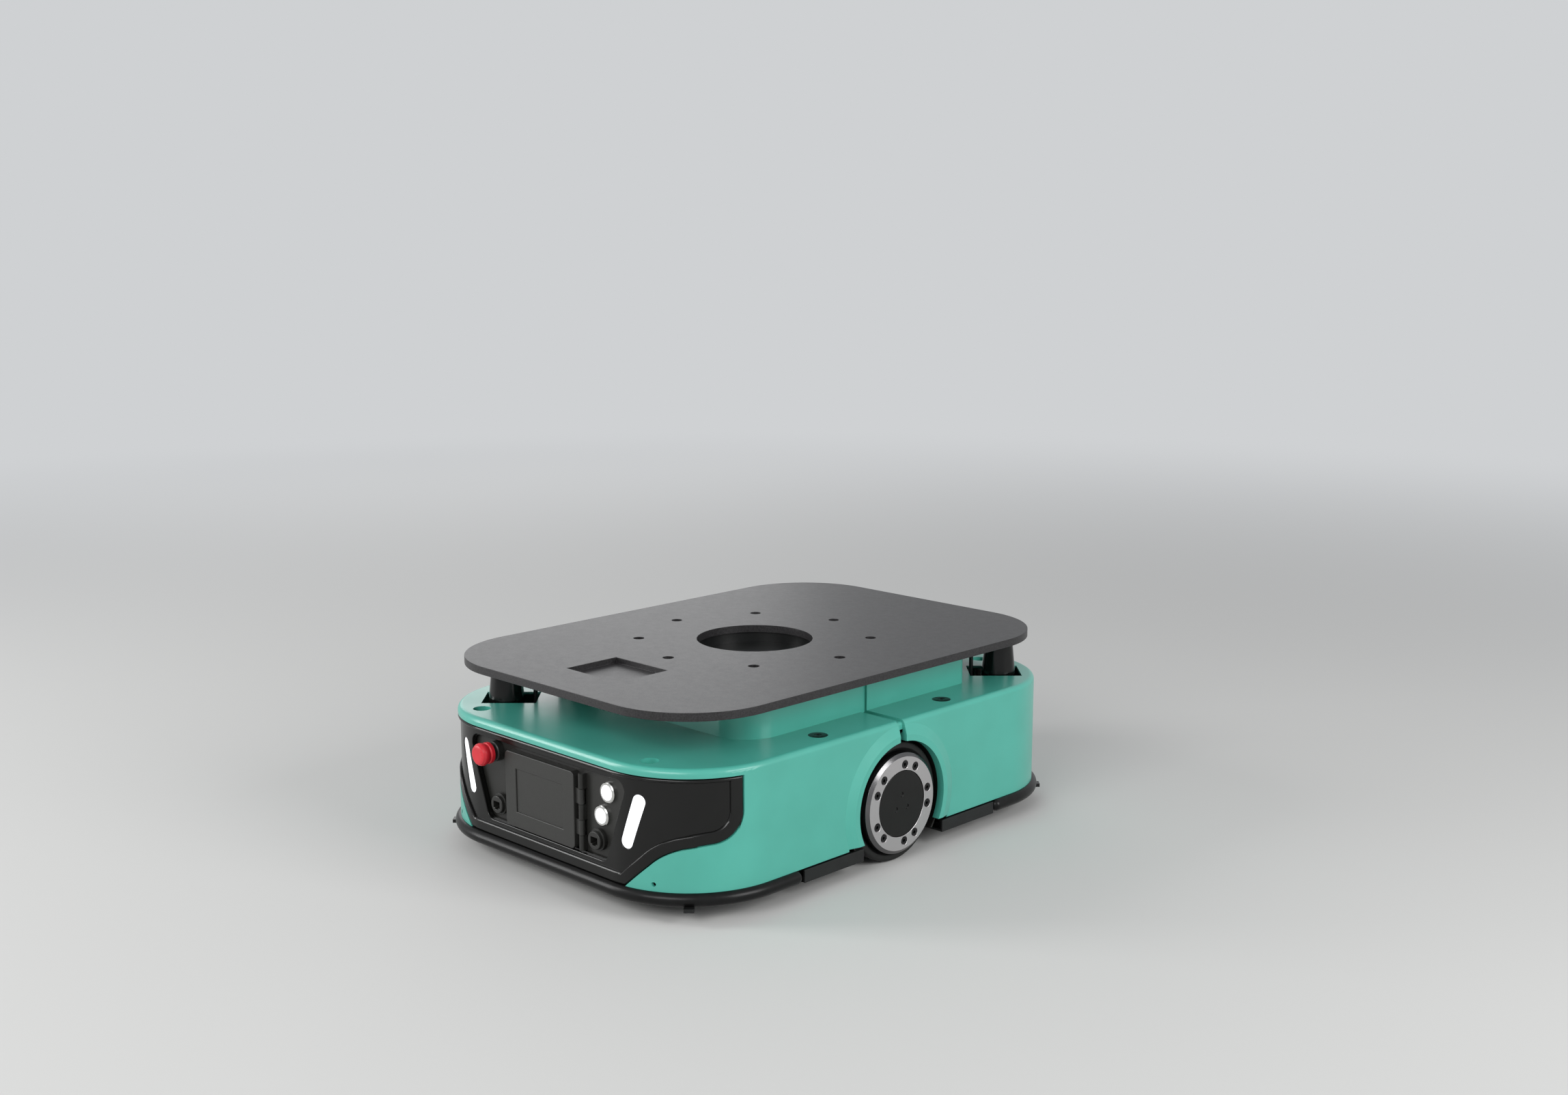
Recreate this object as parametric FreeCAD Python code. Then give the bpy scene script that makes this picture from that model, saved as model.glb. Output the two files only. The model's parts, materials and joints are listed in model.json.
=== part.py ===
"""Low autonomous mobile robot with a flat mounting plate and two corner laser scanners.

Frame: +Z up, the robot drives towards -Y, origin on the floor under the centre of the plate.
All sizes are in millimetres.
"""
import FreeCAD, Part
import math
import os

V = FreeCAD.Vector

# ---- mounting plate ----
PLATE_WIDTH = 480.0
PLATE_LENGTH = 680.0
PLATE_CORNER = 115.0
PLATE_THICKNESS = 10.0
BORE_RADIUS = 75.0
BOLT_CIRCLE = 300.0
BOLT_COUNT = 8
BOLT_HOLE_RADIUS = 7.0
POCKET_WIDTH = 95.0
POCKET_LENGTH = 78.0
POCKET_DEPTH = 7.0
POCKET_CENTRE_Y = -233.0
COLLAR_HEIGHT = 14.0
COLLAR_WALL = 8.0
COLLAR_CLEARANCE = 3.0
SPACER_RADIUS = 14.0
SPACER_Y = 150.0
SPACER_CLEARANCE = 2.0

# ---- covers ----
BODY_WIDTH = 500.0
BODY_LENGTH = 700.0
BODY_CORNER = 125.0
COVER_WALL = 3.0
COVER_BOTTOM = 35.5
COVER_OVER_ARCH = 25.5
COVER_EDGE = 7.0
PLINTH_WIDTH = 377.0
PLINTH_LENGTH = 400.0
PLINTH_HEIGHT = 42.0
PLINTH_FRONT_CORNER = 48.0
PLINTH_REAR_CORNER = 10.0
PLINTH_EDGE = 4.0
SEAM_FRONT_Y = -3.5
SEAM_REAR_Y = 7.5
LIP_WALL = 2.0
LIP_LAP = 8.0
ARCH_CLEARANCE = 2.5
ARCH_SHIFT = 1.8
FLARE_RAISE = 4.0
FLARE_LAND = 7.5
FLARE_BEVEL = 13.5
ARCH_RETURN = 6.0
ARCH_CUT_DEPTH = 40.0
ARCH_NOTCH_HALF = 90.0
ARCH_NOTCH_RISE = 3.0
SIDE_SCREW_INSET = 30.0
SIDE_SCREW_Y = 113.0
FRONT_SCREW_INSET = (93.5, 30.5)
REAR_SCREW_INSET = (128.5, 36.0)
CUP_RADIUS = 11.0
CUP_DEPTH = 8.0
CUP_WALL = 2.5
SCREW_HOLE_RADIUS = 2.75
SCREW_SHANK_RADIUS = 2.5
SCREW_HEAD_RADIUS = 4.4
SCREW_HEAD_HEIGHT = 1.6
SCREW_SOCKET_RADIUS = 2.0
WASHER_RADIUS = 12.0
WASHER_HEIGHT = 2.0
WASHER_PROUD = 0.4
WASHER_GAP = 0.1
WASHER_BEVEL = 0.7
VENT_COUNT = 7
VENT_PITCH = 22.0
VENT_WIDTH = 7.0
VENT_BOTTOM = 95.0
VENT_TOP = 140.0

# ---- front fascia ----
FASCIA_WALL = 3.0
FASCIA_DROP = 11.2
FASCIA_WRAP = 91.0
FASCIA_STEP_HEIGHT = 53.5
FASCIA_GAP = 0.8
FASCIA_LEDGE = 4.0
FASCIA_LEDGE_WALL = 2.0
FASCIA_FOOT_INSET = 106.0
FASCIA_STEP_INSET = 29.0
FASCIA_STEP_END = 10.0
FASCIA_SWEEP = ((74.0, 23.5), (59.0, 11.0), (42.0, 3.0))
FASCIA_SLOPE_RUN = 30.0
FASCIA_HOOK = ((36.0, 2.0), (11.5, 12.0), (0.0, 37.0))
FASCIA_HOOK_START = 47.0
FASCIA_RIM = 14.0
FASCIA_TOP_RIM = 5.0
FASCIA_LAP = 2.0
WINDOW_DROP = 10.5
WINDOW_RISE = 19.0
WINDOW_TOP_INSET = 103.0
WINDOW_BOTTOM_INSET = 139.5
WINDOW_CORNER = 12.0
WINDOW_WALL = 2.5
WINDOW_LEDGE = 1.5
LAMP_TOP_INSET = 88.5
LAMP_BOTTOM_INSET = 105.0
LAMP_DROP = 20.0
LAMP_RISE = 32.3
LAMP_RADIUS = 8.0
LAMP_RECESS = 1.2
LAMP_WALL = 2.0
LAMP_FLANGE = 3.0
TOW_HOLE_INSET = 69.5
TOW_HOLE_RISE = 8.2
TOW_HOLE_RADIUS = 2.6

# ---- instrument panel and what it carries ----
PANEL_SINK = 11.0
PANEL_WALL = 3.0
PANEL_MARGIN = 5.0
DOOR_LEFT_INSET = 74.5
DOOR_RIGHT_INSET = 90.0
DOOR_RISE = 2.1
DOOR_DROP = 7.0
DOOR_DEPTH = 10.0
DOOR_REAR_GAP = 0.6
DOOR_WALL = 3.0
DOOR_CORNER = 6.0
INSET_SIDE = 20.5
INSET_UNDER = 19.6
INSET_DEPTH = 1.5
HINGE_SHIFT = 8.5
HINGE_RADIUS = 3.75
HINGE_PIN_RADIUS = 1.6
HINGE_KNUCKLES = 5
HINGE_GAP = 0.5
SOCKET_WIDTH = 50.0
SOCKET_HEIGHT = 34.0
SOCKET_DEPTH = 24.0
SOCKET_FLANGE = 3.0
SOCKET_RIM = 2.0
SOCKET_MOUTH = (36.0, 20.0, 16.0)
ESTOP_INSET = 49.0
ESTOP_DROP = 15.3
ESTOP_BODY_RADIUS = 11.0
ESTOP_COLLAR_RADIUS = 12.5
ESTOP_COLLAR_LENGTH = 9.5
ESTOP_HEAD_RADIUS = 14.0
ESTOP_HEAD_LENGTH = 18.0
ESTOP_HEAD_PROFILE = ((0.62, 0.0), (0.84, 1.2), (0.97, 3.8), (1.0, 6.5), (0.95, 9.5),
                      (0.86, 11.5), (0.86, 12.5), (0.94, 13.2))
ESTOP_BODY_LENGTH = 30.0
ESTOP_BORE_LENGTH = 20.0
ESTOP_STEM_RADIUS = 5.0
ESTOP_NOSE_RADIUS = 3.0
ESTOP_NOSE_STEP = 2.0
ESTOP_HEAD_WALL = 6.0
ESTOP_STEM_GAP = 1.0
ESTOP_TRAVEL = 4.0
ESTOP_GAP = 0.5
PANEL_ROWS = 24
BUTTON_PLACES = (("start", 38.0, 19), ("reset", 49.0, 12))
BUTTON_RADIUS = 12.25
BUTTON_RISE = 4.0
BUTTON_BODY_RADIUS = 10.9
BUTTON_BODY_LENGTH = 22.0
BUTTON_CAP_RADIUS = 9.0
BUTTON_CAP_RISE = 1.0
BUTTON_TRAVEL = 2.5
BUTTON_FLOOR = 4.0
BUTTON_REAR_GAP = 0.5
CAP_BEVEL = 0.8
NETWORK_INSET = 18.5
NETWORK_ROW = 5
NETWORK_FLANGE_RADIUS = 13.0
NETWORK_NOSE_RADIUS = 11.0
NETWORK_BODY_RADIUS = 9.5
NETWORK_STEP = 5.0
NETWORK_BODY_LENGTH = 20.0
NETWORK_MOUTH = (11.9, 8.2, 14.0)
NETWORK_LATCH = 2.0
PANEL_FEATURE_BEVEL = 1.0
SLIDE_CLEARANCE = 0.08
CUTOUT_CLEARANCE = 0.1

# ---- chassis ----
GROUND_CLEARANCE = 18.5
SKIRT_WALL = 3.0
FLOOR_WALL = 4.0
RIM_INSET = 8.0
RIM_WALL = 3.0
RIM_TOP = 40.0
WALL_X = 106.0
WALL_WALL = 4.0
WALL_SHORT = 25.0
TOWER_SHORT = 30.0
TOWER_CORNER = 20.0
TOWER_WINDOW_RADIUS = 24.0
TOWER_WINDOW_INSET = 64.6
TOWER_WINDOW_DROP = 62.0
SHELF_WALL = 4.0
SHELF_TOWER_GAP = 20.0
SHELF_INSET = 15.0
SHELF_NOTCH_DEPTH = 45.0
SHELF_NOTCH_CLEARANCE = 3.75
DECK_WALL = 4.0
DECK_GAP = 1.0
STANDOFF_RADIUS = 6.0

# ---- laser scanners in the front left and rear right corners ----
FRONT_SCANNER_INSET = (73.0, 84.0)
REAR_SCANNER_INSET = (69.0, 71.0)
SCANNER_TOP_RADIUS = 17.5
SCANNER_WAIST_RADIUS = 23.0
SCANNER_FOOT_RADIUS = 18.5
SCANNER_FOOT_SINK = 13.0
SCANNER_WAIST_SINK = 5.0
PAD_RADIUS = 24.5
PAD_HEIGHT = 2.5
BASE_LENGTH = 62.0
BASE_WIDTH = 46.0
BASE_WALL = 4.0
BASE_SCREW_OFFSET = 26.0
BASE_SCREW_RADIUS = 3.5
BASE_SCREW_HEIGHT = 2.5
OPENING_LENGTH = 68.5
OPENING_WIDTH = 55.0
OPENING_SHIFT = 6.0
STAY_RADIUS = 2.75
STAY_OFFSET = 36.5

# ---- bumpers and skirts ----
TUBE_RADIUS = 8.0
TUBE_INSET = 1.0
TUBE_Z = 27.5
FRONT_TUBE_REACH = 177.0
REAR_TUBE_REACH = 166.0
CLIP_WIDTH = 12.0
CLIP_REACH = 12.0
CLIP_BOTTOM = 17.0
CLIP_ROOT = 20.0
SKIRT_TOP = 34.0
SKIRT_PROUD = 2.0
SKIRT_FLANGE = 45.0
SKIRT_LAP = 5.0
REAR_SKIRT_GAP = 1.0
FRONT_SKIRT_UNDER_ARCH = 11.5
REAR_SKIRT_OFF_ARCH = 2.5

# ---- drive wheels ----
TYRE_RADIUS = 75.0
TYRE_SINK = 6.5
TYRE_WIDTH = 40.0
TYRE_SHOULDER = 4.0
TREAD = 12.0
RIM_PROUD = 10.5
RIM_BEVEL = 4.5
RIM_BEVEL_DEPTH = 3.3
RIM_RING_WIDTH = 21.4
RIM_RING_DEPTH = 6.0
RIM_SHELL = 7.0
WEB_WALL = 12.0
HUB_BOSS_WALL = 11.0
HUB_BORE_LENGTH = 28.0
DISC_CLEARANCE = 0.8
DISC_THICKNESS = 5.5
RING_SCREW_INSET = 14.4
RING_SCREW_PAIRS = 5
RING_SCREW_SPREAD = 12.0
RING_SCREW_RADIUS = 4.4
RING_BORE_RADIUS = 5.5
RING_BORE_DEPTH = 4.5
RING_SCREW_SINK = 0.5
RING_SOCKET_RADIUS = 2.3
RING_SOCKET_FLOOR = 1.5
DISC_SCREW_COUNT = 3
DISC_SCREW_DEPTH = 1.2
DISC_SCREW_CIRCLE = 11.6
DISC_SCREW_RADIUS = 3.2
SPINDLE_RADIUS = 15.0
SPINDLE_SHOULDER = 4.0
SPINDLE_END_GAP = 1.0
MOTOR_RADIUS = 33.0
MOTOR_FLANGE_RADIUS = 42.0
MOTOR_FLANGE = 8.0
MOTOR_NOSE = 4.0
WELL_WALL = 2.5
WELL_CLEARANCE = 11.0
WELL_BACK_GAP = 11.5
WELL_FRONT_GAP = 0.5

# ---- casters ----
CASTER_INSET = (80.0, 100.0)
CASTER_HEIGHT = 99.0
CASTER_WHEEL_RADIUS = 32.5
CASTER_WHEEL_WIDTH = 22.0
CASTER_TRAIL = 24.0
CASTER_AXLE_RADIUS = 4.0
CASTER_FORK_WALL = 3.0
CASTER_FORK_GAP = 1.5
CASTER_FORK_LEAD = 12.0
CASTER_FORK_CHEEK = 12.0
CASTER_FOOT_RADIUS = 9.0
CASTER_HEAD_GAP = 0.5
CASTER_AXLE_PROUD = 2.0
CASTER_WHEEL_HUB = 12.0
CASTER_WHEEL_DISH = 3.0
CASTER_TREAD = 8.0
CASTER_PLATE = 62.0
CASTER_PLATE_WALL = 3.0
CASTER_HEAD_RADIUS = 25.0
CASTER_HEAD_HEIGHT = 6.0
CASTER_PIN_RADIUS = 6.0
CASTER_SWEEP_CLEARANCE = 3.0
RUNNING_CLEARANCE = 0.05

# ---- battery and electronics ----
BATTERY = (170.0, 230.0, 70.0)
BATTERY_FRONT_Y = 30.0
BATTERY_CORNER = 5.0
HANDLE_LENGTH = 90.0
HANDLE_HEIGHT = 12.0
HANDLE_REACH = 12.0
HANDLE_WALL = 10.0
HANDLE_GRIP = 6.0
CONTROLLER = (170.0, 190.0, 34.0)
CONTROLLER_FRONT_Y = -190.0
FIN_COUNT = 9
FIN_HEIGHT = 22.0
FIN_WALL = 3.0

# ---- heights and places that follow from the sizes above ----
BODY_SIDE = BODY_WIDTH / 2
BODY_END = BODY_LENGTH / 2
AXLE_Z = TYRE_RADIUS
ARCH_RADIUS = TYRE_RADIUS + ARCH_CLEARANCE
COVER_TOP = AXLE_Z + ARCH_RADIUS + COVER_OVER_ARCH
PLINTH_TOP = COVER_TOP + PLINTH_HEIGHT
DECK_TOP = PLINTH_TOP - COVER_WALL - DECK_GAP
PLATE_BOTTOM = DECK_TOP + COLLAR_HEIGHT
PLATE_TOP = PLATE_BOTTOM + PLATE_THICKNESS
FLOOR_BOTTOM = GROUND_CLEARANCE + SKIRT_WALL
FLOOR_TOP = FLOOR_BOTTOM + FLOOR_WALL
SHELF_TOP = CASTER_HEIGHT + SHELF_WALL
SCANNER_FOOT_Z = COVER_TOP - SCANNER_FOOT_SINK
FRONT_SCANNER = (FRONT_SCANNER_INSET[0] - BODY_SIDE, FRONT_SCANNER_INSET[1] - BODY_END)
REAR_SCANNER = (BODY_SIDE - REAR_SCANNER_INSET[0], BODY_END - REAR_SCANNER_INSET[1])
SCANNERS = (("front", *FRONT_SCANNER), ("rear", *REAR_SCANNER))
SIDE_SCREW_X = BODY_SIDE - SIDE_SCREW_INSET
FRONT_SCREW = (BODY_SIDE - FRONT_SCREW_INSET[0], FRONT_SCREW_INSET[1] - BODY_END)
REAR_SCREW = (BODY_SIDE - REAR_SCREW_INSET[0], BODY_END - REAR_SCREW_INSET[1])
CASTER_X = BODY_SIDE - CASTER_INSET[0]
CASTER_Y = BODY_END - CASTER_INSET[1]
WALL_HALF_LENGTH = BODY_END - WALL_SHORT
TOWER_HALF_LENGTH = PLINTH_LENGTH / 2 - TOWER_SHORT
SHELF_INNER_Y = TOWER_HALF_LENGTH + SHELF_TOWER_GAP
SHELF_NOTCH_Y = BODY_END - SHELF_NOTCH_DEPTH
FRONT_TUBE_END = FRONT_TUBE_REACH - BODY_END
REAR_TUBE_END = BODY_END - REAR_TUBE_REACH
FRONT_SKIRT = (FRONT_TUBE_END + SKIRT_LAP, FRONT_SKIRT_UNDER_ARCH - ARCH_RADIUS)
REAR_SKIRT = (ARCH_RADIUS + REAR_SKIRT_OFF_ARCH, REAR_TUBE_END - REAR_SKIRT_GAP)
TYRE_FACE_X = BODY_SIDE - TYRE_SINK
TYRE_INNER_X = TYRE_FACE_X - TYRE_WIDTH
RIM_FACE_X = TYRE_FACE_X + RIM_PROUD
RIM_RADIUS = TYRE_RADIUS - TREAD
RIM_RING_INNER = RIM_RADIUS - RIM_RING_WIDTH
RING_SCREW_CIRCLE = RIM_RADIUS - RING_SCREW_INSET
HUB_BOSS_RADIUS = SPINDLE_RADIUS + HUB_BOSS_WALL
WELL_INNER_X = TYRE_INNER_X - WELL_BACK_GAP
FASCIA_TOP = COVER_TOP - FASCIA_DROP
FASCIA_STEP_Z = COVER_BOTTOM + FASCIA_STEP_HEIGHT
WINDOW_TOP = FASCIA_TOP - WINDOW_DROP
WINDOW_BOTTOM = COVER_BOTTOM + WINDOW_RISE
WINDOW_HALF_TOP = BODY_SIDE - WINDOW_TOP_INSET
WINDOW_HALF_BOTTOM = BODY_SIDE - WINDOW_BOTTOM_INSET
LAMP_TOP = (BODY_SIDE - LAMP_TOP_INSET, WINDOW_TOP - LAMP_DROP)
LAMP_BOTTOM = (BODY_SIDE - LAMP_BOTTOM_INSET, WINDOW_BOTTOM + LAMP_RISE)
TOW_HOLE = (BODY_SIDE - TOW_HOLE_INSET, COVER_BOTTOM + TOW_HOLE_RISE)
PANEL_FRONT_Y = PANEL_SINK - BODY_END
DOOR_FRONT_Y = PANEL_FRONT_Y - DOOR_DEPTH
DOOR_LEFT = DOOR_LEFT_INSET - WINDOW_HALF_TOP
DOOR_RIGHT = WINDOW_HALF_TOP - DOOR_RIGHT_INSET
DOOR_BOTTOM = WINDOW_BOTTOM + DOOR_RISE
DOOR_TOP = WINDOW_TOP - DOOR_DROP
HINGE_X = DOOR_RIGHT + HINGE_SHIFT
HINGE_Y = DOOR_FRONT_Y + DOOR_DEPTH / 2
ESTOP_X = ESTOP_INSET - WINDOW_HALF_TOP
ESTOP_Z = WINDOW_TOP - ESTOP_DROP
ROW_PITCH = (WINDOW_TOP - WINDOW_BOTTOM) / PANEL_ROWS
BUTTONS = [(name, WINDOW_HALF_TOP - inset, WINDOW_BOTTOM + row * ROW_PITCH)
           for name, inset, row in BUTTON_PLACES]
NETWORK_X = WINDOW_HALF_BOTTOM - NETWORK_INSET
NETWORK_Z = WINDOW_BOTTOM + NETWORK_ROW * ROW_PITCH
SHELF_NOTCH_HALF = WINDOW_HALF_TOP - BUTTON_PLACES[0][1] + BUTTON_RADIUS + SHELF_NOTCH_CLEARANCE
SIDES = (("left", -1), ("right", 1))
BIG = 2.0 * BODY_LENGTH
CUT_OVER = 20.0


# ---------------------------------------------------------------- shape helpers
def block(x0, x1, y0, y1, z0, z1):
    return Part.makeBox(x1 - x0, y1 - y0, z1 - z0, V(x0, y0, z0))


def rod(radius, start, direction, length):
    return Part.makeCylinder(radius, length, V(*start), V(*direction))


def join(*shapes):
    first, *others = shapes
    return first.fuse(list(others)).removeSplitter() if others else first


def turned(points, centre, direction):
    """Ring or disc from a closed outline of (radius, distance along the axis) points."""
    centre = V(*centre)
    axis = V(*direction)
    side = V(1, 0, 0) if abs(axis.z) > 0.5 else V(0, 0, 1)
    outline = [centre + axis * along + side * radius for radius, along in points]
    face = Part.Face(Part.makePolygon(outline + outline[:1]))
    solid = face.revolve(centre, axis, 360)
    if solid.Volume < 0:
        solid.reverse()
    return solid


def rounded_face(width, length, front_corner, rear_corner, z):
    """Rectangle in plan, centred on the frame, with its own front and rear corner radii."""
    x, y = width / 2, length / 2
    corners = ((x, -y, front_corner, -90), (x, y, rear_corner, 0),
               (-x, y, rear_corner, 90), (-x, -y, front_corner, 180))
    edges = []
    ends = []
    for cx, cy, radius, start in corners:
        centre = V(cx - math.copysign(radius, cx), cy - math.copysign(radius, cy), z)
        at = [centre + V(math.cos(math.radians(a)), math.sin(math.radians(a)), 0) * radius
              for a in (start, start + 45, start + 90)]
        edges.append(Part.Arc(*at).toShape())
        ends.append((at[0], at[2]))
    for k in range(4):
        edges.append(Part.LineSegment(ends[k][1], ends[(k + 1) % 4][0]).toShape())
    return Part.Face(Part.Wire(Part.sortEdges(edges)[0]))


def body_prism(inset, z0, z1):
    face = rounded_face(BODY_WIDTH - 2 * inset, BODY_LENGTH - 2 * inset,
                        BODY_CORNER - inset, BODY_CORNER - inset, z0)
    return face.extrude(V(0, 0, z1 - z0))


def body_band(outer, inner, z0, z1):
    """Upright wall that follows the body's outline between two insets."""
    return body_prism(outer, z0, z1).cut(body_prism(inner, z0 - 1, z1 + 1))


def plinth_prism(inset, z0, z1):
    face = rounded_face(PLINTH_WIDTH - 2 * inset, PLINTH_LENGTH - 2 * inset,
                        PLINTH_FRONT_CORNER - inset, PLINTH_REAR_CORNER - inset, z0)
    return face.extrude(V(0, 0, z1 - z0))


def top_edges(shape, z):
    return [e for e in shape.Edges
            if abs(e.BoundBox.ZMin - z) < 1e-3 and abs(e.BoundBox.ZMax - z) < 1e-3]


def outline_face(points, plane):
    """Face from points and arcs. A triple (start, middle, end) in the list is an arc."""
    place = {"XZ": lambda a, b: V(a, 0, b), "YZ": lambda a, b: V(0, a, b)}[plane]
    edges = []
    last = None
    first = None
    for item in points:
        arc = len(item) == 3
        start = place(*item[0]) if arc else place(*item)
        first = first or start
        if last is not None and (last - start).Length > 1e-6:
            edges.append(Part.LineSegment(last, start).toShape())
        if arc:
            edges.append(Part.Arc(start, place(*item[1]), place(*item[2])).toShape())
        last = place(*item[2]) if arc else start
    edges.append(Part.LineSegment(last, first).toShape())
    return Part.Face(Part.Wire(edges))


def rounded_outline(points, radius):
    """Corners of a convex outline, each turned into an arc of the given radius."""
    result = []
    count = len(points)
    for k in range(count):
        here = V(*points[k], 0)
        before = (V(*points[k - 1], 0) - here).normalize()
        after = (V(*points[(k + 1) % count], 0) - here).normalize()
        half = before.getAngle(after) / 2
        bisector = (before + after).normalize()
        reach = radius / math.tan(half)
        middle = here + bisector * (radius / math.sin(half) - radius)
        arc = (here + before * reach, middle, here + after * reach)
        result.append(tuple((p.x, p.y) for p in arc))
    return result


def front_prism(points, y0, y1, grow=0.0):
    """Prism through the front of the body from an outline seen from the front."""
    face = outline_face(points, "XZ")
    if grow:
        face = face.makeOffset2D(grow)
    face.translate(V(0, y0, 0))
    return face.extrude(V(0, y1 - y0, 0))


def capsule(low, high, radius):
    """Slanted slot outline in the front view."""
    along = V(high[0] - low[0], high[1] - low[1], 0).normalize()
    across = V(-along.y, along.x, 0) * radius
    low, high = V(*low, 0), V(*high, 0)
    arcs = ((low + across, low - along * radius, low - across),
            (high - across, high + along * radius, high + across))
    return [tuple((p.x, p.y) for p in arc) for arc in arcs]


def mirrored(shape):
    return shape.mirror(V(0, 0, 0), V(1, 0, 0))


def both_sides(shape):
    return [shape, mirrored(shape)]


def turned_block(length, width, z0, z1, x, y):
    """Block with its long side on the diagonal that points from the centre to (x, y)."""
    shape = block(-length / 2, length / 2, -width / 2, width / 2, z0, z1)
    angle = math.copysign(45, y) if x > 0 else 180 - math.copysign(45, y)
    shape.rotate(V(0, 0, 0), V(0, 0, 1), angle)
    shape.translate(V(x, y, 0))
    return shape


def diagonal(x, y, distance):
    """Point moved outwards along the corner diagonal."""
    step = distance / math.sqrt(2)
    return x + step * math.copysign(1, x), y + step * math.copysign(1, y)


# ---------------------------------------------------------------- mounting plate
def top_plate():
    plate = rounded_face(PLATE_WIDTH, PLATE_LENGTH, PLATE_CORNER, PLATE_CORNER, PLATE_BOTTOM)
    plate = plate.extrude(V(0, 0, PLATE_THICKNESS))
    cuts = [rod(BORE_RADIUS, (0, 0, PLATE_BOTTOM - 1), (0, 0, 1), PLATE_THICKNESS + 2)]
    for k in range(BOLT_COUNT):
        angle = 2 * math.pi * k / BOLT_COUNT
        x, y = (BOLT_CIRCLE / 2 * f(angle) for f in (math.cos, math.sin))
        cuts.append(rod(BOLT_HOLE_RADIUS, (x, y, PLATE_BOTTOM - 1), (0, 0, 1), PLATE_THICKNESS + 2))
    cuts.append(block(-POCKET_WIDTH / 2, POCKET_WIDTH / 2,
                      POCKET_CENTRE_Y - POCKET_LENGTH / 2, POCKET_CENTRE_Y + POCKET_LENGTH / 2,
                      PLATE_TOP - POCKET_DEPTH, PLATE_TOP + 1))
    return plate.cut(cuts)


def spacer_places():
    return [(x, y) for x in (-WALL_X, WALL_X) for y in (-SPACER_Y, SPACER_Y)]


def plate_collar():
    inner = BORE_RADIUS + COLLAR_CLEARANCE
    outer = inner + COLLAR_WALL
    return turned([(inner, 0), (outer, 0), (outer, COLLAR_HEIGHT), (inner, COLLAR_HEIGHT)],
                  (0, 0, DECK_TOP), (0, 0, 1))


def scanner_head(x, y):
    """Tapered hood of a laser scanner, drawn in at the foot."""
    height = PLATE_BOTTOM - PAD_HEIGHT - SCANNER_FOOT_Z
    waist = SCANNER_FOOT_SINK - SCANNER_WAIST_SINK
    outline = [(0, 0), (SCANNER_FOOT_RADIUS, 0), (SCANNER_WAIST_RADIUS, waist),
               (SCANNER_TOP_RADIUS, height), (0, height)]
    return turned(outline, (x, y, SCANNER_FOOT_Z), (0, 0, 1))


def scanner_pad(x, y):
    """Cushion disc between a scanner and the plate above it."""
    return rod(PAD_RADIUS, (x, y, PLATE_BOTTOM - PAD_HEIGHT), (0, 0, 1), PAD_HEIGHT)


def scanner_base(x, y):
    """Folded saddle on the shelf that carries a scanner, with a screw on each side of it."""
    outer = turned_block(BASE_LENGTH, BASE_WIDTH, SHELF_TOP, SCANNER_FOOT_Z, x, y)
    room = turned_block(BASE_LENGTH + 2, BASE_WIDTH - 2 * BASE_WALL,
                        SHELF_TOP - 1, SCANNER_FOOT_Z - BASE_WALL, x, y)
    places = [diagonal(x, y, offset) for offset in (-BASE_SCREW_OFFSET, BASE_SCREW_OFFSET)]
    screws = [rod(BASE_SCREW_RADIUS, (*place, SCANNER_FOOT_Z), (0, 0, 1), BASE_SCREW_HEIGHT)
              for place in places]
    return join(outer.cut(room), *screws)


def plate_supports():
    """Spacers on the deck above the frame walls, and a thin rod beside each scanner."""
    supports = []
    for x, y in spacer_places():
        supports.append(rod(SPACER_RADIUS, (x, y, DECK_TOP), (0, 0, 1), COLLAR_HEIGHT))
    for _, x, y in SCANNERS:
        foot = (*diagonal(x, y, -STAY_OFFSET), SHELF_TOP)
        supports.append(rod(STAY_RADIUS, foot, (0, 0, 1), PLATE_BOTTOM - SHELF_TOP))
    return Part.makeCompound(supports)


# ---------------------------------------------------------------- covers
def cover_block(inset, z0):
    """Outer form of the covers, moved in by inset, from z0 up."""
    low = body_prism(inset, z0, COVER_TOP - inset)
    low = low.makeFillet(COVER_EDGE - inset, top_edges(low, COVER_TOP - inset))
    high = plinth_prism(inset, COVER_TOP - inset - 2, PLINTH_TOP - inset)
    high = high.makeFillet(PLINTH_EDGE - inset, top_edges(high, PLINTH_TOP - inset))
    return low.fuse(high)


def arch_flare():
    """Raised ring round the wheel arch, with the return that stiffens its edge."""
    face_x = BODY_SIDE
    land = ARCH_RADIUS + FLARE_LAND
    outline = [(ARCH_RADIUS, face_x - ARCH_RETURN), (land, face_x - ARCH_RETURN),
               (land + ARCH_RETURN - COVER_WALL, face_x - COVER_WALL),
               (land + FLARE_BEVEL, face_x - COVER_WALL), (land + FLARE_BEVEL, face_x),
               (land, face_x + FLARE_RAISE), (ARCH_RADIUS, face_x + FLARE_RAISE)]
    ring = turned(outline, (0, ARCH_SHIFT, AXLE_Z), (1, 0, 0))
    return ring.common(block(0, BIG, -BIG, BIG, COVER_BOTTOM, COVER_TOP - COVER_EDGE / 2))


def arch_hole(radius):
    start = (BODY_SIDE - ARCH_CUT_DEPTH, ARCH_SHIFT, AXLE_Z)
    return rod(radius, start, (1, 0, 0), ARCH_CUT_DEPTH + 2 * FLARE_RAISE)


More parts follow.
